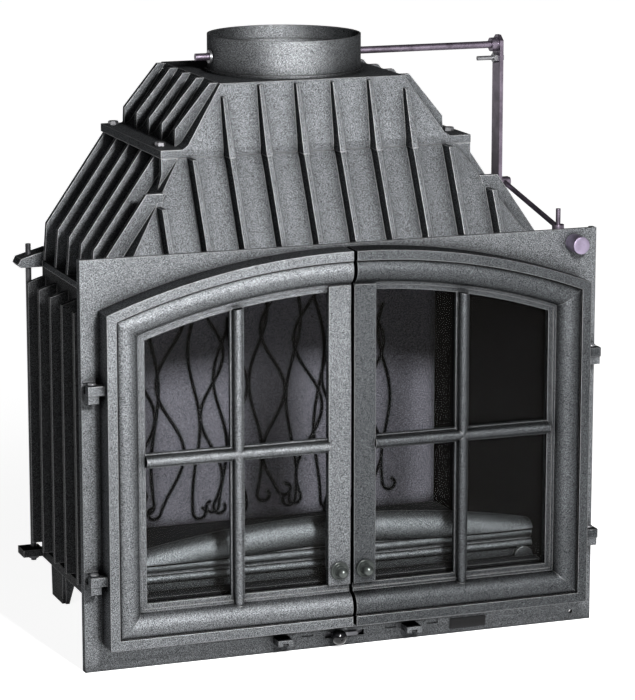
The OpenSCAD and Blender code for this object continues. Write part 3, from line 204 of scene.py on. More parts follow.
def floorMaterial():
    mat = newMaterial("floor")
    tree = mat.node_tree
    place = addNode(tree, "ShaderNodeTexCoord")
    away = addNode(tree, "ShaderNodeVectorMath", operation="LENGTH")
    link(tree, place, "Object", away, 0)
    level = addNode(tree, "ShaderNodeMapRange", {
        "From Min": stage["nearTo"], "From Max": stage["farFrom"],
        "To Min": stage["liftNear"], "To Max": stage["liftFar"]}, interpolation_type="SMOOTHSTEP")
    link(tree, away, "Value", level, "Value")
    dim = addNode(tree, "ShaderNodeBsdfDiffuse", {"Color": grey(stage["bounce"])})
    pale = addNode(tree, "ShaderNodeBsdfDiffuse", {"Color": grey(stage["white"])})
    lift = addNode(tree, "ShaderNodeEmission", {"Color": grey(1)})
    link(tree, level, 0, lift, "Strength")
    both = addNode(tree, "ShaderNodeAddShader")
    link(tree, pale, 0, both, 0)
    link(tree, lift, 0, both, 1)
    pick = addNode(tree, "ShaderNodeMixShader")
    link(tree, seenBy(tree, ["Is Camera Ray", "Is Glossy Ray", "Is Transmission Ray"]), 0, pick, 0)
    link(tree, dim, 0, pick, 1)
    link(tree, both, 0, pick, 2)
    return endMaterial(mat, pick)


def makeFloor():
    h = stage["floorHalf"]
    mesh = bpy.data.meshes.new("floor")
    mesh.from_pydata([(-h, -h, 0), (h, -h, 0), (h, h, 0), (-h, h, 0)], [], [(0, 1, 2, 3)])
    mesh.materials.append(floorMaterial())
    floor = bpy.data.objects.new("floor", mesh)
    bpy.context.scene.collection.objects.link(floor)


makeCamera()
makeLamps()
makeWorld()
makeFloor()
bpy.context.scene.view_settings.view_transform = "Standard"
print("camera, lamps, world and floor made")


# Cast iron: dark paint with metal in it, on each kind of casting
ironLooks = {
    "plate": {"colour": (0.118, 0.123, 0.129), "metal": 0.93, "rough": 0.54, "sheen": 0.50,
              "specks": 0.05, "wearAndHighlight": 0.25},
    "door": {"colour": (0.115, 0.120, 0.126), "metal": 0.95, "rough": 0.45, "sheen": 0.50,
             "specks": 0.04, "wearAndHighlight": 0.45},
    # the right leaf's copy is darker: painted shade, as if less light reached that leaf
    "doorRightShaded": {"colour": (0.052, 0.055, 0.058), "metal": 0.95, "rough": 0.44, "sheen": 0.50,
                  "specks": 0.04, "wearAndHighlight": 0.42},
    # the body's sides, back, base and feet are a darker copy of the iron: painted shade for flanks that the
    # light hardly reaches
    "body": {"colour": (0.050, 0.051, 0.053), "metal": 0.75, "rough": 0.50, "sheen": 0.40,
             "specks": 0.05, "wearAndHighlight": 0.45},
    # the hood's high wear is mostly a painted highlight along its ribs' edges
    "hood": {"colour": (0.090, 0.094, 0.099), "metal": 0.93, "rough": 0.50, "sheen": 0.50,
             "specks": 0.05, "wearAndHighlight": 0.95},
    "collar": {"colour": (0.112, 0.116, 0.121), "metal": 0.96, "rough": 0.46, "sheen": 0.50,
               "specks": 0.04, "wearAndHighlight": 0.30},
    "hearth": {"colour": (0.012, 0.012, 0.013), "metal": 0.20, "rough": 0.75, "sheen": 0.20,
               "specks": 0.05, "wearAndHighlight": 0.20},
    "fireback": {"colour": (0.128, 0.122, 0.143), "metal": 0.50, "rough": 0.60, "sheen": 0.50,
                 "specks": 0.05, "wearAndHighlight": 0.12},
    "liner": {"colour": (0.0015, 0.0015, 0.0018), "metal": 0.00, "rough": 0.85, "sheen": 0.00,
              "specks": 0.00, "wearAndHighlight": 0.02},
    "retainer": {"colour": (0.115, 0.119, 0.125), "metal": 0.94, "rough": 0.47, "sheen": 0.50,
                 "specks": 0.04, "wearAndHighlight": 0.50},
    # the relief's beads are near black: painted shade for the shadows along the fireback's raised lines
    "relief": {"colour": (0.003, 0.003, 0.0035), "metal": 0.00, "rough": 0.45, "sheen": 0.30,
               "specks": 0.00, "wearAndHighlight": 0.02},
    "damper": {"colour": (0.080, 0.080, 0.084), "metal": 0.40, "rough": 0.70, "sheen": 0.45,
               "specks": 0.15, "wearAndHighlight": 0.20},
}
# The sand's grain, cloudy patches, pale specks, pale edges (wear plus painted highlight) and hollows with
# painted shade of all of them.
# A noise is given as its scale, detail and roughness
ironGrain = {
    "sand": (913.0, 3.5, 0.70), "sandShades": [(0.38, 0.16), (0.50, 0.92), (0.62, 2.3)],
    "broad": (7.0, 4.0, 0.55), "broadShades": [(0.32, 0.90), (0.68, 1.08)],
    "speck": (763.0, 2.0, 0.55), "speckShades": [(0.60, 0.0), (0.70, 1.0)],
    "speckColour": (0.50, 0.51, 0.53, 1),
    "edge": 0.0020, "edgeFrom": 0.985, "edgeTo": 0.84, "edgeWearAndHighlightColour": (0.60, 0.60, 0.61, 1),
    "cavity": 0.020, "cavityFrom": 0.30, "cavityTo": 0.92, "cavityShade": 0.08,
    "edgeSamples": 4, "cavitySamples": 6,
    "grit": 1307.0, "bump": 0.00042, "bumpStrength": 0.60, "smoother": 0.08, "rougher": 0.10,
    "grazing": 0.05,
}


def ironMaterial(name, look):
    grain = ironGrain
    mat = newMaterial(name)
    tree = mat.node_tree
    place = askewPlace(tree)
    sand = noiseNode(tree, place, *grain["sand"])
    speck = noiseNode(tree, place, *grain["speck"])
    broad = noiseNode(tree, place, *grain["broad"])
    grit = addNode(tree, "ShaderNodeTexVoronoi", {"Scale": grain["grit"]})
    link(tree, place, "Vector", grit, "Vector")

    shade = greyRamp(tree, grain["sandShades"])
    link(tree, sand, "Fac", shade, 0)
    cloud = greyRamp(tree, grain["broadShades"])
    link(tree, broad, "Fac", cloud, 0)
    sandy = shadedColour(tree, look["colour"], shade)
    cloudy = mixNode(tree, "MULTIPLY", 1.0)
    link(tree, sandy, 2, cloudy, 6)
    link(tree, cloud, 0, cloudy, 7)

    dots = greyRamp(tree, grain["speckShades"])
    link(tree, speck, "Fac", dots, 0)
    dotLevel = addNode(tree, "ShaderNodeMath", {1: look["specks"]}, operation="MULTIPLY")
    link(tree, dots, 0, dotLevel, 0)
    speckled = mixNode(tree)
    link(tree, dotLevel, 0, speckled, 0)
    link(tree, cloudy, 2, speckled, 6)
    speckled.inputs[7].default_value = grain["speckColour"]

    # where a rounded edge's normal leaves the flat one, the colour turns pale: partly worn paint, partly a
    # painted highlight along the edges
    rounded = addNode(tree, "ShaderNodeBevel", {"Radius": grain["edge"]}, samples=grain["edgeSamples"])
    flat = addNode(tree, "ShaderNodeNewGeometry")
    same = addNode(tree, "ShaderNodeVectorMath", operation="DOT_PRODUCT")
    link(tree, rounded, 0, same, 0)
    link(tree, flat, "Normal", same, 1)
    edge = addNode(tree, "ShaderNodeMapRange", {
        "From Min": grain["edgeFrom"], "From Max": grain["edgeTo"], "To Max": look["wearAndHighlight"]})
    link(tree, same, "Value", edge, "Value")
    wornAndHighlitEdge = mixNode(tree)
    link(tree, edge, 0, wornAndHighlitEdge, 0)
    link(tree, speckled, 2, wornAndHighlitEdge, 6)
    wornAndHighlitEdge.inputs[7].default_value = grain["edgeWearAndHighlightColour"]

    # painted shade: the colour darkens where ambient occlusion finds hollows and creases, as shade falls
    # there
    shadeInHollows = addNode(tree, "ShaderNodeAmbientOcclusion", {"Distance": grain["cavity"]},
                     samples=grain["cavitySamples"])
    depth = addNode(tree, "ShaderNodeMapRange", {
        "From Min": grain["cavityFrom"], "From Max": grain["cavityTo"], "To Min": grain["cavityShade"]})
    link(tree, shadeInHollows, "AO", depth, "Value")
    hollowShaded = mixNode(tree, "MULTIPLY", 1.0)
    link(tree, wornAndHighlitEdge, 2, hollowShaded, 6)
    link(tree, depth, 0, hollowShaded, 7)

    height = addNode(tree, "ShaderNodeMath", operation="ADD")
    link(tree, sand, "Fac", height, 0)
    link(tree, grit, "Distance", height, 1)
    bump = addNode(tree, "ShaderNodeBump", {"Strength": grain["bumpStrength"], "Distance": grain["bump"]})
    link(tree, height, 0, bump, "Height")
    link(tree, rounded, 0, bump, "Normal")
    roughness = grainyRoughness(tree, sand, look["rough"], grain["smoother"], grain["rougher"])
    shader = addNode(tree, "ShaderNodeBsdfPrincipled", {
        "Metallic": look["metal"], "Specular IOR Level": look["sheen"],
        "Specular Tint": grey(grain["grazing"])})
    link(tree, hollowShaded, 2, shader, "Base Color")
    link(tree, roughness, 0, shader, "Roughness")
    link(tree, bump, 0, shader, "Normal")
    return endMaterial(mat, shader)


metalLooks = {
    "bolt": {"colour": (0.24, 0.24, 0.25), "metal": 0.9, "rough": 0.40, "grain": 900.0, "stain": 0.55},
    "tie": {"colour": (0.085, 0.085, 0.090), "metal": 0.9, "rough": 0.45, "grain": 900.0, "stain": 0.60},
    "spindle": {"colour": (0.36, 0.36, 0.37), "metal": 0.9, "rough": 0.35, "grain": 1200.0, "stain": 0.60},
    "linkage": {"colour": (0.155, 0.130, 0.165), "metal": 0.9, "rough": 0.42, "grain": 700.0, "stain": 0.55},
    "pull": {"colour": (0.26, 0.22, 0.30), "metal": 0.9, "rough": 0.42, "grain": 1000.0, "stain": 0.75},
    "pan": {"colour": (0.11, 0.11, 0.115), "metal": 0.9, "rough": 0.50, "grain": 300.0, "stain": 0.60},
    "slide": {"colour": (0.13, 0.13, 0.14), "metal": 0.9, "rough": 0.45, "grain": 500.0, "stain": 0.60},
    "clip": {"colour": (0.30, 0.30, 0.31), "metal": 0.9, "rough": 0.42, "grain": 600.0, "stain": 0.60},
    "knob": {"colour": (0.070, 0.078, 0.074), "metal": 0.75, "rough": 0.30, "grain": 500.0, "stain": 0.75},
}
metalGrain = {"fine": (3.0, 0.6), "stains": (45.0, 5.0, 0.65), "stainFrom": 0.36, "stainTo": 0.60,
              "clean": 1.08, "edge": 0.0005, "edgeSamples": 4, "bump": 0.0001, "bumpStrength": 0.25,
              "smoother": 0.07, "rougher": 0.12}


def metalMaterial(name, look):
    mat = newMaterial(name)
    tree = mat.node_tree
    place = askewPlace(tree)
    grain = noiseNode(tree, place, look["grain"], *metalGrain["fine"])
    stain = noiseNode(tree, place, *metalGrain["stains"])
    dull = greyRamp(tree, [(metalGrain["stainFrom"], look["stain"]),
                           (metalGrain["stainTo"], metalGrain["clean"])])
    link(tree, stain, "Fac", dull, 0)
    tone = shadedColour(tree, look["colour"], dull)
    rounded = addNode(tree, "ShaderNodeBevel", {"Radius": metalGrain["edge"]},
                      samples=metalGrain["edgeSamples"])
    bump = addNode(tree, "ShaderNodeBump", {
        "Strength": metalGrain["bumpStrength"], "Distance": metalGrain["bump"]})
    link(tree, grain, "Fac", bump, "Height")
    link(tree, rounded, 0, bump, "Normal")
    roughness = grainyRoughness(tree, grain, look["rough"], metalGrain["smoother"], metalGrain["rougher"])
    shader = addNode(tree, "ShaderNodeBsdfPrincipled", {"Metallic": look["metal"]})
    link(tree, tone, 2, shader, "Base Color")
    link(tree, roughness, 0, shader, "Roughness")
    link(tree, bump, 0, shader, "Normal")
    return endMaterial(mat, shader)


# The panes are clear, with a thin uneven film of soot; 'bends' is low so that they mirror little
doorGlass = {"tint": (0.95, 0.96, 0.96, 1), "bends": 1.10, "rough": 0.04,
             "soot": (0.10, 0.09, 0.08, 1), "patches": (14.0, 4.0, 0.6), "thinnest": 0.002, "thickest": 0.012}


def glassMaterial():
    mat = newMaterial("door glass")
    tree = mat.node_tree
    haze = noiseNode(tree, askewPlace(tree), *doorGlass["patches"])
    film = addNode(tree, "ShaderNodeMapRange", {
        "To Min": doorGlass["thinnest"], "To Max": doorGlass["thickest"]})
    link(tree, haze, "Fac", film, "Value")
    clear = addNode(tree, "ShaderNodeBsdfTransparent", {"Color": doorGlass["tint"]})
    sheen = addNode(tree, "ShaderNodeBsdfGlossy", {"Roughness": doorGlass["rough"]})
    soot = addNode(tree, "ShaderNodeBsdfDiffuse", {"Color": doorGlass["soot"]})
    facing = addNode(tree, "ShaderNodeFresnel", {"IOR": doorGlass["bends"]})
    surface = addNode(tree, "ShaderNodeMixShader")
    link(tree, facing, 0, surface, 0)
    link(tree, clear, 0, surface, 1)
    link(tree, sheen, 0, surface, 2)
    dirty = addNode(tree, "ShaderNodeMixShader")
    link(tree, film, 0, dirty, 0)
    link(tree, surface, 0, dirty, 1)
    link(tree, soot, 0, dirty, 2)
    return endMaterial(mat, dirty)


plainLooks = {
    "gasket tape": {"colour": (0.42, 0.41, 0.37), "rough": 0.9, "sheen": 0.5, "grain": 1400.0,
                    "bump": 0.0003},
    "seal rope": {"colour": (0.24, 0.23, 0.21), "rough": 0.95, "sheen": 0.5, "grain": 1300.0,
                  "bump": 0.0004},
    "ball plastic": {"colour": (0.006, 0.006, 0.007), "rough": 0.22, "sheen": 0.35, "grain": 260.0,
                     "bump": 0.00002},
    "plaque paint": {"colour": (0.007, 0.007, 0.008), "rough": 0.45, "sheen": 0.25, "grain": 600.0,
                     "bump": 0.00006},
}
plainGrain = {"fine": (4.0, 0.6), "shades": [(0.3, 0.78), (0.7, 1.15)], "bumpStrength": 0.4}


def plainMaterial(name, look):
    mat = newMaterial(name)
    tree = mat.node_tree
    noise = noiseNode(tree, askewPlace(tree), look["grain"], *plainGrain["fine"])
    shade = greyRamp(tree, plainGrain["shades"])
    link(tree, noise, "Fac", shade, 0)
    tone = shadedColour(tree, look["colour"], shade)
    bump = addNode(tree, "ShaderNodeBump", {"Strength": plainGrain["bumpStrength"], "Distance": look["bump"]})
    link(tree, noise, "Fac", bump, "Height")
    shader = addNode(tree, "ShaderNodeBsdfPrincipled", {
        "Roughness": look["rough"], "Specular IOR Level": look["sheen"]})
    link(tree, tone, 2, shader, "Base Color")
    link(tree, bump, 0, shader, "Normal")
    return endMaterial(mat, shader)


irons = {key: ironMaterial(key + " iron", look) for key, look in ironLooks.items()}
metals = {key: metalMaterial(key + " steel", look) for key, look in metalLooks.items()}
plains = {key: plainMaterial(key, look) for key, look in plainLooks.items()}
glass = glassMaterial()

slotMaterials = {
    "plate_iron": irons["plate"], "door_iron": irons["door"], "body_iron": irons["body"],
    "hood_iron": irons["hood"], "collar_iron": irons["collar"], "hearth_iron": irons["hearth"],
    "pan_steel": metals["pan"], "fireback_iron": irons["fireback"], "liner_black": irons["liner"],
    "retainer_iron": irons["retainer"], "knob_iron": metals["knob"], "door_glass": glass,
    "gasket_tape": plains["gasket tape"], "seal_rope": plains["seal rope"], "clip_steel": metals["clip"],
    "bolt_steel": metals["bolt"], "tie_steel": metals["tie"], "spindle_steel": metals["spindle"],
    "linkage_steel": metals["linkage"], "pull_knob_steel": metals["pull"], "damper_iron": irons["damper"],
    "slide_steel": metals["slide"], "ball_black": plains["ball plastic"],
    "plaque_black": plains["plaque paint"],
}
for part in frame["record"]["subparts"]:
    mesh = nodes[part["node"]].data
    mesh.materials.clear()
    mesh.materials.append(slotMaterials[part["material_slot"]])
# the right leaf gets a darker copy of the door iron: painted shade, as if less light fell on that leaf
nodes["right_door_frame"].data.materials[0] = irons["doorRightShaded"]
print("materials made and given to the cast parts")


# Where each separate solid of a cast node lies, as pairs of corners: loose triangles are joined
# through the corners that they share
def solidBoxes(nodeName):
    mesh = nodes[nodeName].data
    keys, home = {}, []
    for v in mesh.vertices:
        home.append(keys.setdefault(tuple(round(c, 6) for c in v.co), len(keys)))
    parent = list(range(len(keys)))

    def top(i):
        while parent[i] != i:
            parent[i] = parent[parent[i]]
            i = parent[i]
        return i

    for face in mesh.polygons:
        first = top(home[face.vertices[0]])
        for v in face.vertices[1:]:
            parent[top(home[v])] = first
    groups = {}
    for v in mesh.vertices:
        groups.setdefault(top(home[v.index]), []).append(v.co)
    boxes = []
    for places in groups.values():
        low = Vector([min(p[i] for p in places) for i in range(3)])
        high = Vector([max(p[i] for p in places) for i in range(3)])
        boxes.append((low, high))
    boxes.sort(key=lambda b: tuple(round(c, 4) for c in b[0]))
    return boxes


def middleOf(low, high):
    return [(a + b) / 2 for a, b in zip(low, high)]


def putInScene(name, mesh):
    piece = bpy.data.objects.new(name, mesh)
    bpy.context.scene.collection.objects.link(piece)
    return piece


seams = {"merge": 1e-7, "sharpFrom": 32}


def meshFrom(name, build):
    bm = bmesh.new()
    build(bm)
    bmesh.ops.remove_doubles(bm, verts=bm.verts, dist=seams["merge"])
    bmesh.ops.recalc_face_normals(bm, faces=bm.faces)
    mesh = bpy.data.meshes.new(name)
    bm.to_mesh(mesh)
    bm.free()
    for face in mesh.polygons:
        face.use_smooth = True
    mesh.set_sharp_from_angle(angle=math.radians(seams["sharpFrom"]))
    return mesh


# A closed turned shape about Z: radius and height pairs from the bottom's middle to the top's middle.
# 'shape' may move each point by its angle
def turn(bm, profile, around, shape=None):
    rings = []
    for radius, height in profile:
        if radius < seams["merge"]:
            rings.append([bm.verts.new((0, 0, height))])
            continue
        ring = []
        for i in range(around):
            angle = 2 * math.pi * i / around
            r, z = shape(radius, height, angle) if shape else (radius, height)
            ring.append(bm.verts.new((r * math.cos(angle), r * math.sin(angle), z)))
        rings.append(ring)
    for low, high in zip(rings, rings[1:]):
        joinRings(bm, low, high, around)


# A ring may be a single point, where the shape closes
def joinRings(bm, low, high, around):
    if len(low) == 1 and len(high) == 1:
        return
    for i in range(around):
        j = (i + 1) % around
        if len(low) == 1:
            bm.faces.new((low[0], high[j], high[i]))
        elif len(high) == 1:
            bm.faces.new((low[i], low[j], high[0]))
        else:
            bm.faces.new((low[i], low[j], high[j], high[i]))


# Radius and height pairs along an arc, from the angle 'start' to 'stop' in degrees
def arcPoints(middleR, middleZ, radius, start, stop, steps):
    angles = [math.radians(start + (stop - start) * i / steps) for i in range(steps + 1)]
    return [(middleR + radius * math.cos(a), middleZ + radius * math.sin(a)) for a in angles]


def newTree(name, inputs):
    tree = bpy.data.node_groups.new(name, "GeometryNodeTree")
    tree.interface.new_socket("Geometry", in_out="INPUT", socket_type="NodeSocketGeometry")
    for label, kind in inputs:
        tree.interface.new_socket(label, in_out="INPUT", socket_type=kind)
    tree.interface.new_socket("Geometry", in_out="OUTPUT", socket_type="NodeSocketGeometry")
    return tree, addNode(tree, "NodeGroupInput")


def endTree(tree, source, made):
    real = addNode(tree, "GeometryNodeRealizeInstances")
    link(tree, made, 0, real, 0)
    finish = addNode(tree, "GeometryNodeSetMaterial")
    link(tree, real, 0, finish, "Geometry")
    link(tree, source, "Finish", finish, "Material")
    out = addNode(tree, "NodeGroupOutput")
    link(tree, finish, 0, out, 0)


# Runs a tree on a mesh and keeps the result as one plain mesh
def grow(name, mesh, tree, values):
    carrier = bpy.data.objects.new(name + " path", mesh)
    bpy.context.scene.collection.objects.link(carrier)
    modifier = carrier.modifiers.new("made", "NODES")
    modifier.node_group = tree
    for item in tree.interface.items_tree:
        if item.in_out == "INPUT" and item.name in values:
            modifier[item.identifier] = values[item.name]
    graph = bpy.context.evaluated_depsgraph_get()
    made = bpy.data.meshes.new_from_object(carrier.evaluated_get(graph), depsgraph=graph)
    carrier.modifiers.remove(modifier)
    bpy.data.objects.remove(carrier)
    made.name = name
    return putInScene(name, made)


def copiesTree():
    tree, source = newTree("copies", [("Piece", "NodeSocketObject"), ("Turn", "NodeSocketFloat"),
                                      ("Seed", "NodeSocketInt"), ("Finish", "NodeSocketMaterial")])
    piece = addNode(tree, "GeometryNodeObjectInfo")
    link(tree, source, "Piece", piece, "Object")
    spin = addNode(tree, "FunctionNodeRandomValue", data_type="FLOAT")
    link(tree, source, "Turn", spin, 3)
    link(tree, source, "Seed", spin, "Seed")
    aim = addNode(tree, "ShaderNodeCombineXYZ")
    link(tree, spin, 1, aim, "Z")
    lay = addNode(tree, "GeometryNodeInstanceOnPoints")
    link(tree, source, "Geometry", lay, "Points")
    link(tree, piece, "Geometry", lay, "Instance")
    link(tree, aim, 0, lay, "Rotation")
    endTree(tree, source, lay)
    return tree


copies = copiesTree()


# Copies of one small piece, its Z axis along 'axis', at each place; each copy turns about its own axis
def copyPiece(name, build, places, axis, finish, turnBy=6.2832, seed=3):
    master = putInScene(name + " master", meshFrom(name + " master", build))
    ground = bpy.data.meshes.new(name + " places")
    turned = Vector(axis).to_track_quat("Z", "Y").to_matrix().to_4x4()
    back = turned.inverted()
    ground.from_pydata([back @ Vector(p) for p in places], [], [])
    piece = grow(name, ground, copies, {"Piece": master, "Turn": turnBy, "Seed": seed, "Finish": finish})
    bpy.data.objects.remove(master)
    piece.data.transform(turned)
    return piece


# The hexagon's own radius at an angle, from its width across the flats
def hexRadius(flats, angle):
    return flats / 2 / math.cos((angle + math.pi / 6) % (math.pi / 3) - math.pi / 6)


hexHeads = {"coneShare": 0.475, "cornerShare": 0.55, "cone": 30, "underCone": 0.35,
            "boreEdgeWide": 0.0006, "boreEdgeHigh": 0.0004, "crown": 0.0001, "around": 48}


# A hexagon head or nut, with its corners cut off in a cone above and a little below. Points outside
# the cone's foot are moved out to the hexagon
def hexHead(bm, flats, low, high, bore=0.0):
    coneR = flats * hexHeads["coneShare"]
    steep = math.tan(math.radians(hexHeads["cone"]))

    def shape(radius, height, angle):
        if radius <= coneR * 1.001:
            return radius, height
        across = hexRadius(flats, angle)
        drop = (across - coneR) * steep
        return across, (high - drop if height > (low + high) / 2 else low + drop * hexHeads["underCone"])

    if bore:
        rim = high - hexHeads["boreEdgeHigh"]
        foot = [(bore, rim), (bore, low), (coneR, low)]
        cap = [(coneR, high), (bore + hexHeads["boreEdgeWide"], high), (bore, rim)]
    else:
        crown = high + hexHeads["crown"]
        foot = [(0.0, low), (coneR, low)]
        cap = [(coneR, high), (coneR * 0.8, crown), (0.0, crown)]
    corners = [(flats * hexHeads["cornerShare"], low), (flats * hexHeads["cornerShare"], high)]
    turn(bm, foot + corners + cap, hexHeads["around"], shape)


washers = {"edgeShare": 0.3, "play": 1.05, "around": 48}


def washer(bm, inner, outer, low, high):
    r = (high - low) * washers["edgeShare"]
    turn(bm, [(inner, low), (outer - r, low), (outer, low + r), (outer, high - r), (outer - r, high),
              (inner + r / 2, high), (inner, high - r / 2), (inner, low)], washers["around"])


threads = {"ringsPerPitch": 6, "around": 20, "endGap": 1e-6}


# A threaded rod: the groove of depth 'cut' climbs by 'pitch' in each turn
def thread(bm, radius, low, high, pitch, cut):
    steps = max(6, int((high - low) / pitch * threads["ringsPerPitch"]))
    first, last = low + threads["endGap"], high - threads["endGap"]

    def shape(r, z, angle):
        if r < radius * 0.5 or z <= first or z >= last:
            return r, z
        wave = abs(((z / pitch - angle / (2 * math.pi)) % 1.0) * 2 - 1)
        return r - cut * wave, z

    side = [(radius, low + (high - low) * i / steps) for i in range(1, steps)]
    turn(bm, [(0.0, low), (radius - cut, low)] + side + [(radius - cut, high), (0.0, high)],
         threads["around"], shape)


# The hood's shanks end 'hoodShort' above the foot of the cast bolts' boxes
hexBolts = {"shankR": 0.004, "flats": 0.0121, "headHigh": 0.0055, "washerR": 0.0088, "washerT": 0.0014,
            "pitch": 0.00125, "cut": 0.0007, "hoodShort": 0.0075, "collarLong": 0.006}


def hexBolt(shankLong):
    b = hexBolts

    def build(bm):
        washer(bm, b["shankR"] * washers["play"], b["washerR"], 0.0, b["washerT"])
        hexHead(bm, b["flats"], b["washerT"], b["washerT"] + b["headHigh"])
        thread(bm, b["shankR"], -shankLong, b["washerT"] + b["headHigh"] * 0.5, b["pitch"], b["cut"])
    return build


def makeBolts():
    done = []
    low, high = solidBoxes("hood_bolts")[0]
    hoodLong = high.z - low.z - hexBolts["hoodShort"]
    for what, long, seed in (("hood", hoodLong, 3), ("collar", hexBolts["collarLong"], 8)):
        places = []
        for low, high in solidBoxes(what + "_bolts"):
            x, y, z = middleOf(low, high)
            places.append((x, y, high.z - hexBolts["headHigh"] - hexBolts["washerT"]))
        bolts = copyPiece(what + "_hex_bolts", hexBolt(long), places, (0, 0, 1), metals["bolt"], seed=seed)
        done.append((bolts, what + "_bolts", "stove", "bolt_steel"))
    return done


ties = {"rodR": 0.004, "threadLong": 0.018, "pitch": 0.00125, "cut": 0.0006, "plainEdge": 0.0005,
        "plainStart": 0.0004, "around": 28, "nutFlats": 0.0121, "nutPlay": -0.0001}


# Long rods, threaded at both ends, each with its nuts
def makeTies():
    r, cut, threadLong, pitch = ties["rodR"], ties["cut"], ties["threadLong"], ties["pitch"]
    rodBoxes, nutBoxes = solidBoxes("tie_rods"), solidBoxes("tie_nuts")
    long = rodBoxes[0][1].z - rodBoxes[0][0].z
    nutHigh = nutBoxes[0][1].z - nutBoxes[0][0].z

    def rod(bm):
        thread(bm, r, 0.0, threadLong, pitch, cut)
        thread(bm, r, long - threadLong, long, pitch, cut)
        first, last = threadLong - ties["plainEdge"], long - threadLong + ties["plainEdge"]
        turn(bm, [(0.0, first), (r - cut, first), (r, threadLong + ties["plainStart"]),
                  (r, long - threadLong - ties["plainStart"]), (r - cut, last), (0.0, last)],
             ties["around"])

    def nut(bm):
        hexHead(bm, ties["nutFlats"], 0.0, nutHigh, bore=r + ties["nutPlay"])

    def feet(boxes):
        return [(*middleOf(low, high)[:2], low.z) for low, high in boxes]

    rods = copyPiece("threaded_tie_rods", rod, feet(rodBoxes), (0, 0, 1), metals["tie"], seed=5)
    nuts = copyPiece("tie_hex_nuts", nut, feet(nutBoxes), (0, 0, 1), metals["tie"], seed=11)
    return [(rods, "tie_rods", "stove", "tie_steel"), (nuts, "tie_nuts", "stove", "tie_steel")]


clipScrews = {"headR": 0.0045, "headHigh": 0.0022, "slotWide": 0.0011, "slotDeep": 0.0010,
              "rim": [(1, 0.0), (1, 0.6), (0.97, 0.82), (0.88, 1)], "around": 48, "halfRim": 20,
              "shankR": 0.0025, "shankIn": 0.0002, "pitch": 0.0008, "cut": 0.0004}


# A cheese head with a rounded rim and a driver slot, its axis along Z and its back at zero
def slottedScrew(shankLong):
    c = clipScrews
    around, top, halfSlot = c["around"], c["headHigh"], c["slotWide"] / 2
    floorZ = top - c["slotDeep"]

    def build(bm):
        rims = [(c["headR"] * wide, top * up) for wide, up in c["rim"]]
        turns = [2 * math.pi * i / around for i in range(around)]
        rings = [[bm.verts.new((r * math.cos(a), r * math.sin(a), z)) for a in turns] for r, z in rims]
        back = bm.verts.new((0, 0, 0))
        joinRings(bm, [back], rings[0], around)
        for low, high in zip(rings, rings[1:]):
            joinRings(bm, low, high, around)
        topR = rims[-1][0]
        start = math.asin(halfSlot / topR)
        for side in (1, -1):
            angles = [start + (math.pi - 2 * start) * i / c["halfRim"] for i in range(c["halfRim"] + 1)]
            arc = [bm.verts.new((side * topR * math.cos(a), side * topR * math.sin(a), top)) for a in angles]
            bm.faces.new(arc)
            first, last = arc[0], arc[-1]
            below = [bm.verts.new((v.co.x, v.co.y, floorZ)) for v in (last, first)]
            bm.faces.new([first, last] + below)
        reach = math.sqrt(topR * topR - halfSlot * halfSlot)
        corners = ((reach, halfSlot), (-reach, halfSlot), (-reach, -halfSlot), (reach, -halfSlot))
        bm.faces.new([bm.verts.new((x, y, floorZ)) for x, y in corners])
        thread(bm, c["shankR"], -shankLong, c["shankIn"], c["pitch"], c["cut"])
    return build


def makeClipScrews():
    done = []
    head = clipScrews["headHigh"]
    for side in ("left", "right"):
        boxes = solidBoxes(side + "_clip_screws")
        long = boxes[0][1].y - boxes[0][0].y - head
        places = []
        for low, high in boxes:
            x, y, z = middleOf(low, high)
            places.append((x, high.y - head, z))
        screws = copyPiece(side + "_slotted_screws", slottedScrew(long), places, (0, 1, 0),
                           metals["clip"], seed=21)
        done.append((screws, side + "_clip_screws", side + "_door", "bolt_steel"))
    return done


# A turned piece in a cast node's place, from the node's back towards the front
def turnedForward(name, node, profile, around, finish):
    low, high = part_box(node)
    x, y, z = middleOf(low, high)

    def build(bm):
        turn(bm, profile, around)

    return copyPiece(name, build, [(x, high[1], z)], (0, -1, 0), finish, turnBy=0.0)


knobs = {"long": 0.0200, "ballR": 0.0075, "neckR": 0.0060, "collarR": 0.0120, "collarEdge": 0.0006,
         "collarSide": 0.0016, "rollR": 0.0013, "rollAt": 0.0018, "rollSweep": 120,
         "cove": [(0.0030, 0.0024), (0.0042, 0.0025)], "neckFlare": 0.0012, "flareAt": 0.0036,
         "neckAt": 0.0052, "tip": 0.0001, "around": 56, "rollSteps": 8, "ballSteps": 22}


# A ball on a short neck over a collar with a rolled rim
def makeKnobs():
    done = []
    k = knobs
    middle = k["long"] - k["ballR"] - k["tip"]
    neckAngle = -math.degrees(math.acos(k["neckR"] / k["ballR"]))
    profile = [(0.0, 0.0), (k["collarR"] - k["collarEdge"], 0.0), (k["collarR"], k["collarEdge"]),
               (k["collarR"], k["collarSide"])]
    profile += arcPoints(k["collarR"] - k["rollR"], k["rollAt"], k["rollR"],
                         0, k["rollSweep"], k["rollSteps"])
    profile += [(k["collarR"] - inward, height) for inward, height in k["cove"]]
    profile += [(k["neckR"] + k["neckFlare"], k["flareAt"]), (k["neckR"], k["neckAt"])]
    profile += arcPoints(0.0, middle, k["ballR"], neckAngle, 90, k["ballSteps"])[:-1]
    profile += [(0.0, middle + k["ballR"])]
    for side in ("left", "right"):
        knob = turnedForward(side + "_turned_knob", side + "_knob", profile, k["around"], metals["knob"])
        done.append((knob, side + "_knob", side + "_latch", "knob_iron"))
    return done


pullKnob = {"chamfer": 0.0009, "grooveAt": 0.0045, "groove": 0.0004, "crown": 0.0001, "around": 72}


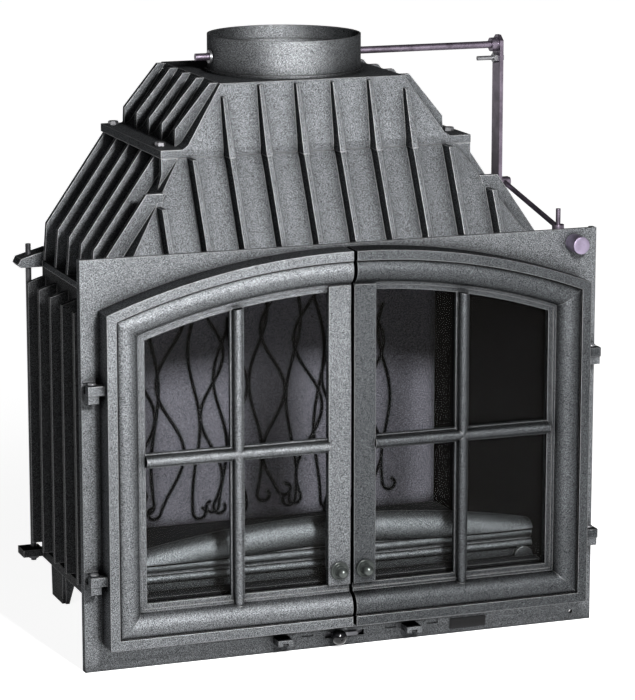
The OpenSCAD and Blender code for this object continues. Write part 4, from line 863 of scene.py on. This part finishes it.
# A short cylinder with a chamfer at each end and a groove near its foot
def makePullKnob():
    low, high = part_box("pull_knob")
    r, long = (high[0] - low[0]) / 2, high[1] - low[1]
    c, at, g, crown = pullKnob["chamfer"], pullKnob["grooveAt"], pullKnob["groove"], pullKnob["crown"]
    profile = [(0.0, 0.0), (r - c, 0.0), (r, c)]
    profile += [(r, at), (r - g, at + g), (r, at + 2 * g)]
    profile += [(r, long - c), (r - c * 0.4, long - c * 0.3), (r - c, long)]
    profile += [(r * 0.5, long - crown * 0.8), (0.0, long - crown)]
    knob = turnedForward("turned_pull_knob", "pull_knob", profile, pullKnob["around"], metals["pull"])
    return [(knob, "pull_knob", "pull", "pull_knob_steel")]


airBall = {"dimpleR": 0.0022, "dimpleDeep": 0.0012, "around": 56, "steps": 26}


# A ball, flat at the back where the lever enters, with a dimple in its face
def makeAirKnob():
    low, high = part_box("air_knob")
    r = (high[0] - low[0]) / 2
    middle = high[1] - low[1] - r
    dimple, deep = airBall["dimpleR"], airBall["dimpleDeep"]
    first = math.degrees(math.asin(-middle / r))
    last = math.degrees(math.acos(dimple / r))
    rim = middle + math.sqrt(r * r - dimple * dimple)
    profile = [(0.0, 0.0)] + arcPoints(0.0, middle, r, first, last, airBall["steps"])
    profile += [(dimple * 0.8, rim - deep * 0.5), (dimple * 0.5, rim - deep), (0.0, rim - deep)]
    ball = turnedForward("ball_air_knob", "air_knob", profile, airBall["around"], plains["ball plastic"])
    return [(ball, "air_knob", "air_control", "ball_black")]


# The doors' seals: a rope braided from strands that pass over and under each other. 'doorHalf' and
# 'archRise' are the leaf's own edge; the insets are those of the rope's middle and of the seal's rim
rope = {"strandsEachWay": 6, "radius": 0.0029, "strand": 0.00105, "swing": 0.00042, "lay": 0.021,
        "sides": 5, "pointsPerTurn": 10, "deep": 1.12, "round": 0.006, "doorHalf": 0.327,
        "archRise": 0.0610, "inset": 0.0088, "rimInset": 0.0051, "innerHalf": 0.0038, "archSteps": 24}


def ropeTree():
    tree, source = newTree("braid", [
        ("Strands", "NodeSocketInt"), ("Radius", "NodeSocketFloat"), ("Strand", "NodeSocketFloat"),
        ("Swing", "NodeSocketFloat"), ("Turns", "NodeSocketFloat"), ("Points", "NodeSocketInt"),
        ("Deep", "NodeSocketFloat"), ("Sides", "NodeSocketInt"), ("Finish", "NodeSocketMaterial")])

    def mathNode(kind, *parts):
        node = addNode(tree, "ShaderNodeMath", operation=kind)
        for socket, part in zip(node.inputs, parts):
            if isinstance(part, (int, float)):
                socket.default_value = part
            else:
                tree.links.new(part, socket)
        return node.outputs[0]

    def times(*parts):
        total = parts[0]
        for part in parts[1:]:
            total = mathNode("MULTIPLY", total, part)
        return total

    curve = addNode(tree, "GeometryNodeMeshToCurve")
    link(tree, source, "Geometry", curve, 0)
    even = addNode(tree, "GeometryNodeResampleCurve")
    link(tree, curve, 0, even, "Curve")
    link(tree, source, "Points", even, "Count")
    along = addNode(tree, "GeometryNodeSplineParameter").outputs["Factor"]
    tangent = addNode(tree, "GeometryNodeInputTangent")
    outward = addNode(tree, "ShaderNodeVectorMath", {1: (0, 1, 0)}, operation="CROSS_PRODUCT")
    link(tree, tangent, 0, outward, 0)
    both = addNode(tree, "GeometryNodeJoinGeometry")
    section = addNode(tree, "GeometryNodeCurvePrimitiveCircle")
    link(tree, source, "Sides", section, "Resolution")
    link(tree, source, "Strand", section, "Radius")
    given = source.outputs
    wound = times(along, given["Turns"], 2 * math.pi)
    weave = mathNode("COSINE", times(wound, given["Strands"]))
    for way in (1.0, -1.0):
        many = addNode(tree, "GeometryNodeDuplicateElements", domain="SPLINE")
        link(tree, even, 0, many, "Geometry")
        link(tree, source, "Strands", many, "Amount")
        share = mathNode("DIVIDE", many.outputs["Duplicate Index"], given["Strands"])
        angle = mathNode("ADD", times(share, 2 * math.pi), times(wound, way))
        radius = mathNode("ADD", given["Radius"], times(weave, given["Swing"], way))
        side = times(mathNode("COSINE", angle), radius)
        depth = times(mathNode("SINE", angle), radius, given["Deep"])
        sideways = addNode(tree, "ShaderNodeVectorMath", operation="SCALE")
        link(tree, outward, 0, sideways, 0)
        tree.links.new(side, sideways.inputs["Scale"])
        deepways = addNode(tree, "ShaderNodeCombineXYZ")
        tree.links.new(depth, deepways.inputs["Y"])
        total = addNode(tree, "ShaderNodeVectorMath", operation="ADD")
        link(tree, sideways, 0, total, 0)
        link(tree, deepways, 0, total, 1)
        move = addNode(tree, "GeometryNodeSetPosition")
        link(tree, many, "Geometry", move, "Geometry")
        link(tree, total, 0, move, "Offset")
        tube = addNode(tree, "GeometryNodeCurveToMesh")
        link(tree, move, 0, tube, "Curve")
        link(tree, section, "Curve", tube, "Profile Curve")
        link(tree, tube, 0, both, 0)
    endTree(tree, source, both)
    return tree


def roundedCorner(before, corner, after, radius, steps=5):
    before, corner, after = Vector(before), Vector(corner), Vector(after)
    start = corner + (before - corner).normalized() * radius
    stop = corner + (after - corner).normalized() * radius
    shares = [i / steps for i in range(steps + 1)]
    return [start.lerp(corner, t).lerp(corner.lerp(stop, t), t) for t in shares]


# Once round a leaf in the middle of its seal: up the meeting edge, along the arch, down the hinge edge
def ropePath(low, high, sign):
    edge, inset, rim = rope["doorHalf"], rope["inset"], rope["rimInset"]
    depthY = (low[1] + high[1]) / 2
    archR = (edge ** 2 + rope["archRise"] ** 2) / (2 * rope["archRise"])
    meeting = abs(high[0] if sign < 0 else low[0])
    near, far = sign * (meeting + rope["innerHalf"]), sign * (edge - inset)
    # the seal's box is highest where its rim's arch ends, at the meeting edge
    middleZ = high[2] - math.sqrt((archR - rim) ** 2 - meeting ** 2)
    foot = low[2] + inset - rim

    def onArch(share):
        x = near + (far - near) * share
        return (x, depthY, middleZ + math.sqrt((archR - inset) ** 2 - x ** 2))

    arch = [onArch(i / rope["archSteps"]) for i in range(rope["archSteps"] + 1)]
    start, end = (near, depthY, foot), (far, depthY, foot)
    path = roundedCorner(end, start, arch[0], rope["round"])
    path += roundedCorner(start, arch[0], arch[2], rope["round"])
    path += [Vector(p) for p in arch[1:-1]]
    path += roundedCorner(arch[-3], arch[-1], end, rope["round"])
    path += roundedCorner(arch[-1], end, start, rope["round"])
    return path


def makeRopes():
    done = []
    tree = ropeTree()
    for side, sign in (("left", -1), ("right", 1)):
        path = ropePath(*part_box(side + "_seal"), sign)
        mesh = bpy.data.meshes.new(side + " rope path")
        count = len(path)
        mesh.from_pydata(path, [(i, (i + 1) % count) for i in range(count)], [])
        long = sum((path[i] - path[i - 1]).length for i in range(count))
        turns = round(long / rope["lay"])
        piece = grow(side + "_braided_seal", mesh, tree, {
            "Strands": rope["strandsEachWay"], "Radius": rope["radius"], "Strand": rope["strand"],
            "Swing": rope["swing"], "Turns": float(turns), "Points": turns * rope["pointsPerTurn"],
            "Deep": rope["deep"], "Sides": rope["sides"], "Finish": plains["seal rope"]})
        done.append((piece, side + "_seal", side + "_door", "seal_rope"))
    return done


# Rounded beads over the fireback's wavy relief, each ending in a small curl at its foot. 'ridges' are
# the casting's own nine; 'waves' are wider and cross between them. Each line's start, ends, swing and
# phase change from one to the next: a value, how much it varies, and by how many degrees a line
relief = {
    "bead": 0.0024, "sides": 12, "step": 0.003, "proud": 0.0012, "steps": 60, "lines": 9, "pitch": 0.048,
    "start": (0.006, 140), "low": (0.109, 0.010, 100), "high": (0.398, 0.026, 77),
    "ridges": {"swing": (0.013, 0.003, 61), "turns": 1.35, "phase": (0, 55), "atFoot": 0.35},
    "waves": {"swing": (0.019, 0.004, 83), "turns": 1.60, "phase": (150, 70), "atFoot": 0.8,
              "between": 0.024, "low": (0.012, 150)},
    "curl": 0.0105, "curlSweep": 250.0, "curlShrink": 0.35, "curlSteps": 16,
}


def beadTree():
    tree, source = newTree("beads", [("Bead", "NodeSocketFloat"), ("Sides", "NodeSocketInt"),
                                     ("Step", "NodeSocketFloat"), ("Finish", "NodeSocketMaterial")])
    curve = addNode(tree, "GeometryNodeMeshToCurve")
    link(tree, source, "Geometry", curve, 0)
    even = addNode(tree, "GeometryNodeResampleCurve", mode="LENGTH")
    link(tree, curve, 0, even, "Curve")
    link(tree, source, "Step", even, "Length")
    section = addNode(tree, "GeometryNodeCurvePrimitiveCircle")
    link(tree, source, "Sides", section, "Resolution")
    link(tree, source, "Bead", section, "Radius")
    tube = addNode(tree, "GeometryNodeCurveToMesh", {"Fill Caps": True})
    link(tree, even, 0, tube, "Curve")
    link(tree, section, "Curve", tube, "Profile Curve")
    endTree(tree, source, tube)
    return tree


# The line numbered i, from the end of its curl up to its top
def reliefLine(i, faceY, kind):
    def vary(middle, by, degrees, wave=math.sin):
        return middle + by * wave(math.radians(degrees * i))

    x0 = vary(i * relief["pitch"], *relief["start"])
    z0 = vary(*relief["low"], wave=math.cos)
    z1 = vary(*relief["high"])
    if kind is relief["waves"]:
        x0 += kind["between"]
        z0 = vary(z0, *kind["low"])
        swing = vary(*kind["swing"])
    else:
        swing = vary(*kind["swing"], wave=math.cos)
    phase = kind["phase"][0] + kind["phase"][1] * i
    line = []
    for k in range(relief["steps"] + 1):
        t = k / relief["steps"]
        reach = swing * (kind["atFoot"] + (1 - kind["atFoot"]) * t)
        x = x0 + reach * math.sin(math.radians(360 * kind["turns"] * t + phase))
        line.append(Vector((x, faceY, z0 + (z1 - z0) * t)))
    return footCurl(line, 1 if i % 2 else -1) + line


# The curl that winds on from a line's foot, to the one side or the other, and tightens
def footCurl(line, side):
    heading = (line[0] - line[1]).normalized()
    middle = line[0] + Vector((heading.z, 0, -heading.x)) * side * relief["curl"]
    arm = line[0] - middle
    foot = []
    for k in range(relief["curlSteps"], 0, -1):
        share = k / relief["curlSteps"]
        angle = math.radians(relief["curlSweep"] * share) * side
        turned = Vector((arm.x * math.cos(angle) + arm.z * math.sin(angle), 0,
                         arm.z * math.cos(angle) - arm.x * math.sin(angle)))
        foot.append(middle + turned * (1 - relief["curlShrink"] * share))
    return foot


def makeRelief():
    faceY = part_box("fireback")[0][1] + relief["proud"]
    half = relief["lines"] // 2
    lines = []
    for i in range(-half, half + 1):
        lines.append(reliefLine(i, faceY, relief["ridges"]))
        if i < half:
            lines.append(reliefLine(i, faceY, relief["waves"]))
    points, edges = [], []
    for line in lines:
        edges += [(len(points) + k, len(points) + k + 1) for k in range(len(line) - 1)]
        points += line
    mesh = bpy.data.meshes.new("relief lines")
    mesh.from_pydata(points, edges, [])
    # the beads take the near black relief iron: painted shade for the shadows along the lines
    piece = grow("fireback_beads", mesh, beadTree(), {
        "Bead": relief["bead"], "Sides": relief["sides"], "Step": relief["step"], "Finish": irons["relief"]})
    for face in piece.data.polygons:
        face.use_smooth = True
    return [(piece, None, "stove", "fireback_iron")]


def made(pieces):
    for piece, node, body, slotName in pieces:
        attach(piece, body)
        if node:
            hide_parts(node)
    print("made", ", ".join(p[0].name for p in pieces))


for make in (makeBolts, makeTies, makeClipScrews, makeKnobs, makePullKnob, makeAirKnob,
             makeRopes, makeRelief):
    made(make())
